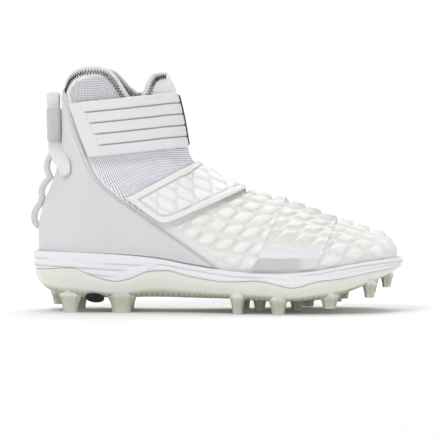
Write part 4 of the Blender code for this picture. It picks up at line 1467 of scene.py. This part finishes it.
def make_patch():
    """The grey film at the outer foot of the forefoot band."""
    reach = PATCH_REACH[0] + edged(14, 0.03) * (PATCH_REACH[1] - PATCH_REACH[0])
    grid, spots, _ = facing_out(*strap_wrap(FOREFOOT_BAND, edged(40, 0.01), reach))
    high = LAY + PATCH_THICKNESS * edge_roll(edge_distance(grid), 0.8 * MM)
    masks = {
        "fade": smoothstep((spots[..., 0] - PATCH_FADES) / (9 * MM)),
        "strip": smoothstep((spots[..., 1] - PATCH_STRIP) / (0.5 * MM)),
    }
    low = LAY - 0.3 * MM
    sheet_piece("side_patch_film", grid, low, high, patch_paint(), "side_patch", masks)


def eased_path(rows, steps):
    """Points along a curve through the rows, each row any number of columns."""
    rows = np.array(rows, float)
    columns = ["c%d" % i for i in range(rows.shape[1])]
    curve = Table(" ".join(["step", *columns]), *[(i, *row) for i, row in enumerate(rows)])
    where = np.linspace(0, len(rows) - 1, steps)
    return np.stack([curve.at(column, where) for column in columns], axis=1)


def quarter_back(z):
    """How far from the heel's tip the back of the quarter lies, on the middle line."""
    return heel_x(z) - QUARTER_LAY - QUARTER_THICKNESS


# Pull loop: half of its route, from the seam on the side of the heel up to the top of the loop.
# Behind is the distance behind the quarter, aside a share of SHAFT_WIDTH, rise of UPPER_RISE,
# and turn the angle in degrees of its width away from the length.
STRAND_ASIDE = 0.034
PULL_LOOP = (
    ("behind", "aside", "rise", "turn"),
    (-0.0118, 0.450, 0.412, 30),
    (-0.0072, 0.420, 0.470, 26),
    (0.0002, 0.280, 0.525, 18),
    (0.0042, 0.100, 0.562, 4),
    (0.0056, STRAND_ASIDE, 0.590, 0),
    (0.0062, STRAND_ASIDE, 0.650, 0),
    (0.0070, STRAND_ASIDE, 0.720, 0),
    (0.0070, STRAND_ASIDE, 0.785, 0),
    (0.0070, 0.060, 0.815, 0),
    (0.0070, 0.050, 0.845, 0),
    (0.0070, 0.000, 0.860, 0),
)
# Width of the webbing from the top of the loop to its seams, as shares of the usual one
WEBBING_PLACES = (0.0, 0.02, 0.05, 0.10, 0.15, 0.50, 0.65, 0.93, 0.975, 1.0)
WEBBING_SWELL = (0.62, 0.94, 1.14, 1.16, 1.06, 1.06, 1.20, 1.22, 1.05, 0.70)
WEBBING_LOFT = 1.15


def make_pull_loop():
    """The webbing from its outer seam over the top of the loop to its inner seam."""
    rows = []
    for row in named_rows(PULL_LOOP):
        z = height_of(row["rise"])
        y = -row["aside"] * SHAFT_WIDTH
        rows.append((quarter_back(z) - row["behind"], y, z, math.radians(row["turn"])))
    rows += [(x, -y, z, -turn) for x, y, z, turn in reversed(rows[:-1])]
    x, y, z, turn = eased_path(rows, 161).T
    across = np.stack([np.cos(turn), -np.sin(turn), 0 * turn], axis=1)
    past = np.abs(np.linspace(-1, 1, len(x)))
    width = WEBBING_WIDTH * np.interp(past, WEBBING_PLACES, WEBBING_SWELL)
    rings = swept_rings(place(x, y, z), across, width, WEBBING_THICKNESS * WEBBING_LOFT, 16)
    paint = webbing_paint("white_webbing", (0.88, 0.88, 0.87), 1.4 * MM)
    ring_piece("pull_loop_webbing", rings, paint, "pull_loop")


def oval_ring(x, z, long, wide, count=48):
    """A level ring on the middle line, between an oval and a box."""
    angle = 2 * math.pi * np.arange(count) / count
    ahead = long / 2 * squared_off(np.cos(angle), 0.6)
    return place(x + ahead, wide / 2 * squared_off(np.sin(angle), 0.6), z)


# The sleeve: its ends, how far ahead of the quarter its foot and head lie, the slack round the
# webbing, and its softened rim
SLEEVE_RISES = (0.600, 0.775)
SLEEVE_AHEAD = (-6.0 * MM, -6.8 * MM)
SLEEVE_SLACK = 1.1 * MM
SLEEVE_SOFT = 0.5 * MM


def make_sleeve():
    """The smooth sleeve round both strands of the pull loop, leaning back a little."""
    low, high = (height_of(rise) for rise in SLEEVE_RISES)
    foot, head = (quarter_back(z) + ahead for z, ahead in zip((low, high), SLEEVE_AHEAD))
    strands = 2 * (STRAND_ASIDE * SHAFT_WIDTH + WEBBING_THICKNESS / 2)
    inner = (WEBBING_WIDTH + SLEEVE_SLACK, strands + 5 * FIT)
    outer = tuple(size + 2 * SLEEVE_WALL for size in inner)
    soft = tuple(size - SLEEVE_SOFT for size in outer)
    rings = [
        oval_ring(foot, low, *soft),
        oval_ring(foot, low + 0.4 * MM, *outer),
        oval_ring(head, high - 0.4 * MM, *outer),
        oval_ring(head, high, *soft),
        oval_ring(head, high, *inner),
        oval_ring(foot, low, *inner),
    ]
    paint = plain_paint("grey_sleeve", (0.56, 0.56, 0.575), 0.38)
    ring_piece("pull_sleeve_tube", rings, paint, "pull_sleeve", tube=True)


# Heel cord: an arc's top and foot as shares of UPPER_RISE, and how far it stands off the heel.
# Its lower end is sunk into the heel over the last length.
HEEL_CORD = (
    ("top", "foot", "out"),
    (0.555, 0.400, 0.0060),
    (0.400, 0.292, 0.0036),
    (0.292, 0.252, 0.0000),
    (0.252, 0.150, 0.0024),
)
CORD_SEEN = 5.3 * MM
CORD_WIDE = 4.4 * MM
CORD_SINKS = 3 * MM
ARC_STEPS = 18


def make_heel_cord():
    """The cord in its arcs down the middle of the heel."""
    points = []
    stand = CORD_SEEN / 2 + 2 * FIT
    arcs = named_rows(HEEL_CORD)
    for arc in arcs:
        for share in np.arange(ARC_STEPS) / ARC_STEPS:
            z = height_of(arc["top"] + (arc["foot"] - arc["top"]) * share)
            out = arc["out"] * math.sin(math.pi * share) ** 0.8
            points.append(place(quarter_back(z) - (stand + out), 0.0, z))
    for share in (0.0, 0.5, 1.0):
        z = height_of(arcs[-1]["foot"]) - CORD_SINKS * share
        points.append(place(quarter_back(z) - stand * (1 - 1.1 * share), 0.0, z))
    rings = swept_rings(points, (0.0, 1.0, 0.0), CORD_WIDE, CORD_SEEN, 12)
    paint = webbing_paint("white_cord", (0.86, 0.86, 0.85), 1.2 * MM)
    ring_piece("heel_cord_weave", rings, paint, "heel_cord")


# Grooves in the side of the midsole: how deep in mm, then places in metres from the heel and
# above the floor. One that doesn't start at the heel fades in, and all fade out.
GROOVES = (
    (0.8, ((0.000, 0.0432), (0.010, 0.0434), (0.017, 0.0437))),
    (1.0, ((0.000, 0.0379), (0.032, 0.0367), (0.060, 0.0350), (0.080, 0.0338))),
    (0.9, ((0.057, 0.0396), (0.075, 0.0389), (0.092, 0.0379))),
    (0.9, ((0.031, 0.0345), (0.039, 0.0321), (0.053, 0.0303), (0.070, 0.0289))),
    (0.7, ((0.042, 0.0296), (0.052, 0.0280), (0.063, 0.0268))),
    (0.6, ((0.094, 0.0350), (0.105, 0.0392), (0.128, 0.0352), (0.160, 0.0302), (0.190, 0.0290))),
)
GROOVE_WIDTH = 0.6 * MM
GROOVE_IN = 4 * MM
GROOVE_OUT = 5 * MM
# Ahead of this place another groove follows the midsole's top edge, so far below it
LIP_FROM = 205 * MM
LIP_BELOW = 2.2 * MM
LIP_WIDTH = 0.45 * MM
LIP_DEEP = 0.8

# Side of the midsole from the border with the plate up to its lip: how far out it stands, in mm
FOAM_SIDE = Table(
    "share out",
    (0.00, -1.2),
    (0.10, -0.5),
    (0.25, -0.2),
    (0.45, -0.7),
    (0.62, 0.0),
    (0.80, 0.1),
    (0.90, -0.1),
    (0.97, -0.9),
    (1.00, -1.8),
)
# Its rings stand closer together in the top part of the side
FOAM_RINGS = 57
FOAM_TOP = 6 * MM
FOAM_OVER = 0.2 * MM
CUP_OVER = 0.6 * MM
EDGE_ROUND = 1.2 * MM


def groove_cut(along, z, top):
    """How deep the midsole's side is grooved at places along it, in mm."""
    cut = np.zeros(len(along))
    for deep, line in GROOVES:
        line = np.array(line)
        start, end = line[0, 0], line[-1, 0]
        level = np.interp(along, line[:, 0], line[:, 1])
        starts = 1.0 if start == 0 else smoothstep((along - start) / GROOVE_IN)
        reach = starts * smoothstep((end - along) / GROOVE_OUT)
        cut = np.maximum(cut, deep * reach * soft_line(z - level, GROOVE_WIDTH))
    lip = smoothstep((along - LIP_FROM) / (20 * MM)) * soft_line(top - z - LIP_BELOW, LIP_WIDTH)
    return np.maximum(cut, LIP_DEEP * lip)


def sole_levels(along):
    """The plate's inner floor and its border with the midsole, from heel to toe."""
    floor = sole_height("under", along) + PLATE_WALL
    return floor, np.maximum(sole_height("border", along), floor + 2 * MM)


def make_midsole():
    """The grooved foam side, with the keel that sits in the plate and the cup round the upper."""
    outline, along, _ = sole_outline()
    top = sole_height("top", along)
    floor, border = sole_levels(along)
    turn, side = both_sides(SOLE_STATIONS)
    foot_x, foot_z = ring_line(0.0, turn)
    cup = pushed(place(foot_x, upper_y(foot_x, foot_z, side), foot_z), FIT)
    keel = -2 * PLATE_WALL
    rings = [
        at_height(pushed(outline, keel - EDGE_ROUND - 3 * FIT), floor + 2 * FIT),
        at_height(pushed(outline, keel - 4 * FIT), floor + EDGE_ROUND + 3 * FIT),
        at_height(pushed(outline, -PLATE_WALL - EDGE_ROUND - 3 * FIT), border + FIT),
    ]
    cuts = [np.zeros(len(outline))] * len(rings)
    low, high = border + FIT, top + FOAM_OVER
    upper = np.minimum(FOAM_TOP, 0.6 * (high - low))
    for step in np.linspace(0, 2, FOAM_RINGS):
        z = np.where(step <= 1, low + (high - upper - low) * step, high - upper * (2 - step))
        cut = groove_cut(along, z, top)
        out = FOAM_SIDE.at("out", (z - low) / (high - low))
        rings.append(at_height(pushed(outline, out * MM - cut * MM), z))
        cuts.append(cut)
    rings.append(at_height(cup, sole_height("top", foot_x) + CUP_OVER))
    rings.append(at_height(cup, sole_height("footbed", foot_x)))
    cuts += [np.zeros(len(outline))] * 2
    # The groove mask paints shade into the cut grooves
    masks = {"groove": np.stack(cuts) * 0.75}
    ring_piece("midsole_foam", rings, foam_paint(), "midsole", masks=masks)


# Flank of the plate from its underside to the border: share of its height, and mm in from the
# outline, read at the levels of its rings
PLATE_SIDE = Table(
    "share in",
    (0.00, 11.0),
    (0.10, 6.5),
    (0.24, 4.6),
    (0.38, 3.4),
    (0.60, 2.0),
    (0.80, 1.2),
    (1.00, 1.5),
)
PLATE_LEVELS = (0, 0.04, 0.10, 0.17, 0.24, 0.31, 0.38, 0.49, 0.60, 0.70, 0.80, 0.93, 1.0)
# Fine ribs along its lower edge: pitch, height, and the level that they stand at
RIB_PITCH = 6.5 * MM
RIB_HEIGHT = 0.45 * MM
RIB_LEVEL = 0.16
RIB_SPREAD = 0.09


def make_plate():
    """The moulded plate, a shallow tray with a ribbed lower edge."""
    outline, along, _ = sole_outline()
    under = sole_height("under", along)
    floor, border = sole_levels(along)
    wave = RIB_HEIGHT * np.sin(2 * math.pi * along / RIB_PITCH)
    wave = wave * smoothstep((along - 60 * MM) / (20 * MM))
    rings, deep = [], []
    for share in PLATE_LEVELS:
        ribs = wave * soft_line(share - RIB_LEVEL, RIB_SPREAD)
        out = -PLATE_SIDE.at("in", np.full(len(outline), float(share))) * MM
        rings.append(at_height(pushed(outline, out + ribs), under + (border - under) * share))
        deep.append(1 - smoothstep((share - 0.08) / 0.40))
    rings += [
        at_height(pushed(outline, -PLATE_WALL - EDGE_ROUND), border),
        at_height(pushed(outline, -2 * PLATE_WALL), floor + EDGE_ROUND),
        at_height(pushed(outline, -2 * PLATE_WALL - EDGE_ROUND), floor),
    ]
    deep += [0.3] * 3
    masks = {"deep": np.repeat(deep, len(outline))}
    return ring_piece("sole_plate", rings, plate_paint(), "outsole_plate", masks=masks)


# Levels of a stud: share of the way from tip to root, mm above that, shares of its length and
# width, and how dark the plastic looks there
STUD_LEVELS = (
    ("share", "lift", "long", "wide", "shade"),
    (0.0, 0.00, 0.78, 0.64, 0.60),
    (0.0, 0.40, 0.84, 0.70, 0.50),
    (0.4, 0.00, 0.92, 0.84, 0.60),
    (0.75, 0.0, 1.06, 1.00, 0.65),
    (1.0, 0.00, 1.22, 1.18, 0.60),
    (1.0, 1.50, 1.34, 1.30, 0.40),
    (1.0, 3.00, 1.28, 1.30, 0.22),
    (1.0, 4.50, 0.98, 1.25, 0.08),
    (1.0, 6.00, 0.55, 1.20, 0.00),
)
# Corners of a stud's section as shares of its half length and half width
STUD_QUARTER = ((-1, -0.42), (-0.55, -1), (0.55, -1), (1, -0.42))
STUD_CORNERS = STUD_QUARTER + tuple((-x, -y) for x, y in STUD_QUARTER)
# The side corners are painted this much darker: painted shade on the stud's side facets
CORNER_SHADE = 0.24


def plate_flank(x, z, side):
    """Where the plate's flank lies at a point of the length and height, on a side."""
    ends = float(rounded(x / HEEL_ROUND) * rounded((LENGTH - x) / TOE_ROUND, ARCH_POWER))
    half = SOLE.at("half", x / LENGTH) * BALL_WIDTH * ends
    under = sole_height("under", x)
    share = (z - under) / (sole_height("border", x) - under)
    inset = PLATE_SIDE.at("in", min(max(share, 0.0), 1.0)) * MM
    return float(SOLE.at("centre", x / LENGTH) * BALL_WIDTH + side * (half - inset))


def stud_rings(stud):
    """Rings of one stud's corners from its tip up, and the shade of each corner."""
    x, y = stud["along"] * LENGTH, stud["across"] * BALL_WIDTH
    root, tip = sole_height("under", x), stud["tip"] * STUD_HEIGHT
    outward = 0.0 if abs(stud["across"]) < 0.1 else math.copysign(1.0, stud["across"])
    points, shades = [], []
    for level in named_rows(STUD_LEVELS):
        lift = level["lift"]
        height = tip + (root - tip) * level["share"] + lift * MM
        # The flared top follows the plate's flank and sinks into it as it rises
        flank = plate_flank(x, max(height, root), outward) + outward * (0.38 - 0.08 * lift) * MM
        on_flank = level["share"] == 1
        for across, aside in STUD_CORNERS:
            spot_x = x + stud["long"] * STUD_FOOT * level["long"] * across / 2
            spot_y = y + stud["wide"] * STUD_FOOT * level["wide"] * aside / 2
            if outward * aside > 0.5 and on_flank:
                spot_y = outward * max(outward * spot_y, outward * flank)
            points.append(place(spot_x, spot_y, height))
            # Painted shade on the side facets, but not on the flared top
            side_corner = abs(across) == 1 and not (on_flank and lift >= 2)
            shades.append(level["shade"] + (CORNER_SHADE if side_corner else 0.0))
    return points, shades


def make_studs(paint):
    """Tapered eight-sided studs, flared where they run into the plate."""
    points, faces, deep = [], [], []
    count, rows = len(STUD_CORNERS), len(STUD_LEVELS) - 1
    for stud in named_rows(STUDS):
        first = len(points)
        spots, shades = stud_rings(stud)
        points += spots
        deep += shades
        faces.append([first + i for i in reversed(range(count))])
        faces += grid_skin(rows, count, True, first)[0]
        faces.append([first + (rows - 1) * count + i for i in range(count)])
    node, masks = "outsole_plate", {"deep": deep}
    add_piece("studs", points, faces, None, paint, node, replaces=False, masks=masks, flat=True)


# The oval plug sits on the lower outer edge of the plate, tilted towards the floor
PLUG_ALONG = 0.174
PLUG_TILT = math.radians(40)
PLUG_ROLL = math.radians(9)
PLATE_EDGE_IN = 0.0065
PLATE_EDGE_UP = 0.10
PLUG_SINKS = 0.4 * MM
PLUG_DROPS = 1.3 * MM
# Its domed rim and dished face: shares of its thickness and of its size
PLUG_RINGS = (
    (0.0, 0.92),
    (0.4, 1.0),
    (0.6, 0.97),
    (0.75, 0.88),
    (0.78, 0.80),
    (0.66, 0.72),
    (0.66, 0.3),
)


def make_plug():
    """The glossy black plug."""
    x = PLUG_ALONG * LENGTH
    half = SOLE.at("half", PLUG_ALONG) * BALL_WIDTH
    under = sole_height("under", x)
    edge_y = SOLE.at("centre", PLUG_ALONG) * BALL_WIDTH - half + PLATE_EDGE_IN
    edge_z = under + (sole_height("border", x) - under) * PLATE_EDGE_UP
    away = np.array([0.0, -math.cos(PLUG_TILT), -math.sin(PLUG_TILT)])
    down = np.array([0.0, -math.sin(PLUG_TILT), math.cos(PLUG_TILT)])
    seat = place(x, edge_y, edge_z - PLUG_DROPS) - away * PLUG_SINKS
    forwards = np.array([1.0, 0.0, 0.0])
    ahead = forwards * math.cos(PLUG_ROLL) - down * math.sin(PLUG_ROLL)
    aside = forwards * math.sin(PLUG_ROLL) + down * math.cos(PLUG_ROLL)
    angle = 2 * math.pi * np.arange(36)[:, None] / 36
    oval = np.cos(angle) * ahead * PLUG_LENGTH / 2 + np.sin(angle) * aside * PLUG_WIDTH / 2
    rings = [seat + away * PLUG_THICKNESS * height + oval * share for height, share in PLUG_RINGS]
    paint = plain_paint("black_plug", (0.008, 0.008, 0.009), 0.25, Specular_IOR_Level=0.25)
    ring_piece("heel_plug_cap", rings, paint, "heel_plug")


# Sewing, grown by Geometry Nodes and kept as plain meshes


class Grower:
    """A Geometry Nodes tree with named sizes, run once on a source mesh."""

    def __init__(self, name, sizes):
        self.tree = bpy.data.node_groups.new(name, "GeometryNodeTree")
        self.sockets = {}
        add = self.tree.interface.new_socket
        add("Geometry", in_out="INPUT", socket_type="NodeSocketGeometry")
        for size in sizes:
            made = add(size, in_out="INPUT", socket_type="NodeSocketFloat")
            self.sockets[size] = made.identifier
        add("Geometry", in_out="OUTPUT", socket_type="NodeSocketGeometry")
        self.source = self.tree.nodes.new("NodeGroupInput")

    def node(self, kind, settings=None, values=None, output=0):
        """Adds a node with its settings, and the values or links of its sockets."""
        made = self.tree.nodes.new(kind)
        for key, value in (settings or {}).items():
            setattr(made, key, value)
        for key, value in (values or {}).items():
            if isinstance(value, bpy.types.NodeSocket):
                self.tree.links.new(value, made.inputs[key])
            else:
                made.inputs[key].default_value = value
        return made.outputs[output]

    def given(self, name):
        return self.source.outputs[name]

    def finish(self, geometry, paint):
        """Ends the tree with its material, on plain geometry."""
        geometry = self.node("GeometryNodeRealizeInstances", None, {"Geometry": geometry})
        values = {"Geometry": geometry, "Material": paint}
        painted = self.node("GeometryNodeSetMaterial", None, values)
        end = self.tree.nodes.new("NodeGroupOutput")
        self.tree.links.new(painted, end.inputs[0])

    def grow(self, name, mesh, sizes, slot):
        piece = bpy.data.objects.new(name, mesh)
        bpy.context.scene.collection.objects.link(piece)
        modifier = piece.modifiers.new("grow", "NODES")
        modifier.node_group = self.tree
        for size, value in sizes.items():
            modifier[self.sockets[size]] = value
        seen = piece.evaluated_get(bpy.context.evaluated_depsgraph_get())
        plain = bpy.data.meshes.new_from_object(seen)
        piece.modifiers.remove(modifier)
        piece.data = plain
        plain.polygons.foreach_set("use_smooth", [True] * len(plain.polygons))
        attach(piece, "root")
        return piece


def stitch_grower(paint):
    """One rounded stitch on each point, along its run and flat on what it is sewn to."""
    grower = Grower("stitches", ("Length", "Width", "Rise"))
    ball = {"Segments": 6, "Rings": 4, "Radius": 0.5}
    bead = grower.node("GeometryNodeMeshUVSphere", None, ball)
    vector = {"data_type": "FLOAT_VECTOR"}
    run, facing = (
        grower.node("GeometryNodeInputNamedAttribute", vector, {"Name": name})
        for name in ("run", "facing")
    )
    turn = grower.node(
        "FunctionNodeAxesToRotation",
        {"primary_axis": "Z", "secondary_axis": "X"},
        {"Primary Axis": facing, "Secondary Axis": run},
    )
    sizes = {"X": grower.given("Length"), "Y": grower.given("Width"), "Z": grower.given("Rise")}
    scale = grower.node("ShaderNodeCombineXYZ", None, sizes)
    points = grower.given("Geometry")
    values = {"Points": points, "Instance": bead, "Rotation": turn, "Scale": scale}
    grower.finish(grower.node("GeometryNodeInstanceOnPoints", None, values), paint)
    return grower


def thread_grower(name, paint):
    """A round thread along the edges of a mesh."""
    grower = Grower(name, ("Radius",))
    line = grower.node("GeometryNodeMeshToCurve", None, {"Mesh": grower.given("Geometry")})
    values = {"Resolution": 5, "Radius": grower.given("Radius")}
    section = grower.node("GeometryNodeCurvePrimitiveCircle", {"mode": "RADIUS"}, values)
    tube = {"Curve": line, "Profile Curve": section, "Fill Caps": True}
    grower.finish(grower.node("GeometryNodeCurveToMesh", None, tube), paint)
    return grower


# The zigzag stops here on the tongue, in metres from the middle of the shoe
SEWN_TO = -0.041


def line_mesh(name, points):
    """A closed run of edges, left out where they would pass the tongue's front."""
    mesh = bpy.data.meshes.new(name)
    sewn = points[:, 0] <= SEWN_TO
    edges = [(i, (i + 1) % len(points)) for i in range(len(points))]
    edges = [(first, last) for first, last in edges if sewn[first] and sewn[last]]
    mesh.from_pydata(points.tolist(), edges, [])
    return mesh


def point_mesh(name, points, runs, facings):
    """Points that carry the direction of their seam and of the cloth's outside."""
    mesh = bpy.data.meshes.new(name)
    mesh.from_pydata(points.tolist(), [], [])
    for key, vectors in (("run", runs), ("facing", facings)):
        made = mesh.attributes.new(key, "FLOAT_VECTOR", "POINT")
        made.data.foreach_set("vector", np.asarray(vectors, np.float32).ravel())
    return mesh


# Zigzags: how far below the edge their far corners lie, how far off the upper's outer face they
# are lifted, and the thread's radius
ZIGZAGS = (
    ("name", "far", "lift", "radius"),
    ("collar_zigzag", ZIGZAG_FAR, 0.45 * MM, 0.52 * MM),
    ("lining_zigzag", ZIGZAG_FAR + MM, -WALL - 0.2 * MM, 0.42 * MM),
)

# Stitches: their size, then the pitch along a seam and how far they stand off the surface
QUARTER_STITCH = {"Length": 1.2 * MM, "Width": 0.62 * MM, "Rise": 0.36 * MM}
QUARTER_STITCHES = (1.9 * MM, 0.08 * MM)
TAB_STITCH = {"Length": 1.1 * MM, "Width": 0.45 * MM, "Rise": 0.25 * MM}
TAB_STITCHES = (1.8 * MM, 0.05 * MM)
TAB_STITCHED_AT = 14.6 * MM


def sew(skin, quarter, cover):
    """The threads that show: at the collar, along the quarter's edges and across the tab."""
    black = plain_paint("black_thread", (0.012, 0.012, 0.014), 0.65)
    thread = thread_grower("zigzag_thread", black)
    for row in named_rows(ZIGZAGS):
        corners = zigzag(skin, row["far"], row["lift"])
        mesh = line_mesh(row["name"], corners)
        thread.grow(row["name"], mesh, {"Radius": row["radius"]}, "upper")
    stitches = stitch_grower(plain_paint("pale_thread", (0.20, 0.20, 0.20), 0.7))
    for number, distance in enumerate(QUARTER_SEAMS):
        name = "quarter_stitches_%d" % (number + 1)
        mesh = point_mesh(name, *seam_runs(*quarter, distance, *QUARTER_STITCHES))
        stitches.grow(name, mesh, QUARTER_STITCH, "heel_quarter")
    # Half of the cover's seam points, which lie on its tab but for the last two
    seam = [part[: len(part) // 2] for part in seam_runs(*cover, TAB_STITCHED_AT, *TAB_STITCHES)]
    mesh = point_mesh("tab_stitches", *seam)
    white = stitch_grower(plain_paint("white_thread", (0.50, 0.50, 0.50), 0.7))
    white.grow("tab_stitches", mesh, TAB_STITCH, "ankle_cover")


# Studio


def aimed(thing, spot, aim):
    """Puts a camera or a lamp at a spot, level and pointing at its aim."""
    spot, aim = np.array(spot, float), np.array(aim, float)
    back = unit(spot - aim)
    right = unit(np.cross((0.0, 0.0, 1.0), back))
    up = np.cross(back, right)
    pose = np.eye(4)
    pose[:3] = np.stack([right, up, back, spot], axis=1)
    thing.matrix_world = Matrix(pose.tolist())


# The photograph's camera. Its picture is 436 pixels wide, at so many pixels to the metre.
CAMERA_AZIMUTH = math.radians(2.5)
CAMERA_ELEVATION = math.radians(2.0)
CAMERA_DISTANCE = 2.0
CAMERA_AIM = (-0.0003, 0.0, 0.0751)
VIEW_WIDTH = 436 / 1232.7
SENSOR = 36.0


def make_camera():
    """Looks at the outer side, from a little ahead and above."""
    camera = bpy.data.objects.new("camera", bpy.data.cameras.new("camera"))
    bpy.context.scene.collection.objects.link(camera)
    level = np.array([math.sin(CAMERA_AZIMUTH), -math.cos(CAMERA_AZIMUTH), 0.0])
    up = np.array([0.0, 0.0, math.sin(CAMERA_ELEVATION)])
    way = level * math.cos(CAMERA_ELEVATION) + up
    aimed(camera, np.array(CAMERA_AIM) + way * CAMERA_DISTANCE, CAMERA_AIM)
    camera.data.sensor_width = SENSOR
    camera.data.lens = SENSOR * CAMERA_DISTANCE / VIEW_WIDTH
    camera.data.clip_start = 0.05
    bpy.context.scene.camera = camera


# Lights: where each stands, where it points, its size in metres and its power
LIGHTS = (
    ("name", "spot", "aim", "size", "power"),
    ("key", (-0.9, -1.0, 1.7), (0.0, 0.0, 0.08), 0.9, 15.0),
    ("fill", (1.5, -1.2, 0.7), (0.0, 0.0, 0.06), 1.2, 4.5),
    ("top", (0.1, 0.9, 1.9), (0.0, 0.5, 0.0), 1.8, 24.0),
)


# The backdrop is white behind the shoe and dimmer overhead
SKY_NODES = ("ShaderNodeTexCoord", "ShaderNodeSeparateXYZ", "ShaderNodeMapRange")
SKY_RANGE = (0.12, 0.40, 1.05, 0.42)
FLOOR_SIZE = 1.15


def make_studio():
    """White backdrop, three soft lamps and a pale floor."""
    scene = bpy.context.scene
    scene.view_settings.view_transform = "Standard"
    world = bpy.data.worlds.new("studio")
    scene.world = world
    world.use_nodes = True
    nodes, links = world.node_tree.nodes, world.node_tree.links
    sky = nodes["Background"]
    sky.inputs["Color"].default_value = (1.0, 1.0, 1.0, 1)
    way, parts, shade = (nodes.new(kind) for kind in SKY_NODES)
    shade.interpolation_type = "SMOOTHSTEP"
    for name, value in zip(("From Min", "From Max", "To Min", "To Max"), SKY_RANGE):
        shade.inputs[name].default_value = value
    links.new(way.outputs["Generated"], parts.inputs[0])
    links.new(parts.outputs["Z"], shade.inputs["Value"])
    links.new(shade.outputs[0], sky.inputs["Strength"])
    for light in named_rows(LIGHTS):
        lamp = bpy.data.lights.new(light["name"], "AREA")
        lamp.size = light["size"]
        lamp.energy = light["power"]
        made = bpy.data.objects.new(light["name"], lamp)
        scene.collection.objects.link(made)
        aimed(made, light["spot"], light["aim"])
    size = FLOOR_SIZE
    corners = [(-size, -size, 0), (size, -size, 0), (size, size, 0), (-size, size, 0)]
    mesh = bpy.data.meshes.new("floor")
    mesh.from_pydata(corners, [], [(0, 1, 2, 3)])
    mesh.materials.append(plain_paint("floor_card", (0.95, 0.95, 0.95), 0.9))
    floor = bpy.data.objects.new("floor", mesh)
    scene.collection.objects.link(floor)


skin = bootie_skin()
make_bootie(skin)
make_binding(skin)
quarter = make_quarter()
make_elastic()
cover = make_cover()
make_quilt()
make_band()
make_patch()
make_pull_loop()
make_sleeve()
make_heel_cord()
make_midsole()
plate = make_plate()
make_studs(plate.data.materials[0])
make_plug()
sew(skin, quarter, cover)

# The insole keeps its solid and gets its cloth
for insole_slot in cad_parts["insole"].material_slots:
    insole_slot.material = cloth_paint("insole_cloth", (0.55, 0.56, 0.58))

make_studio()
make_camera()
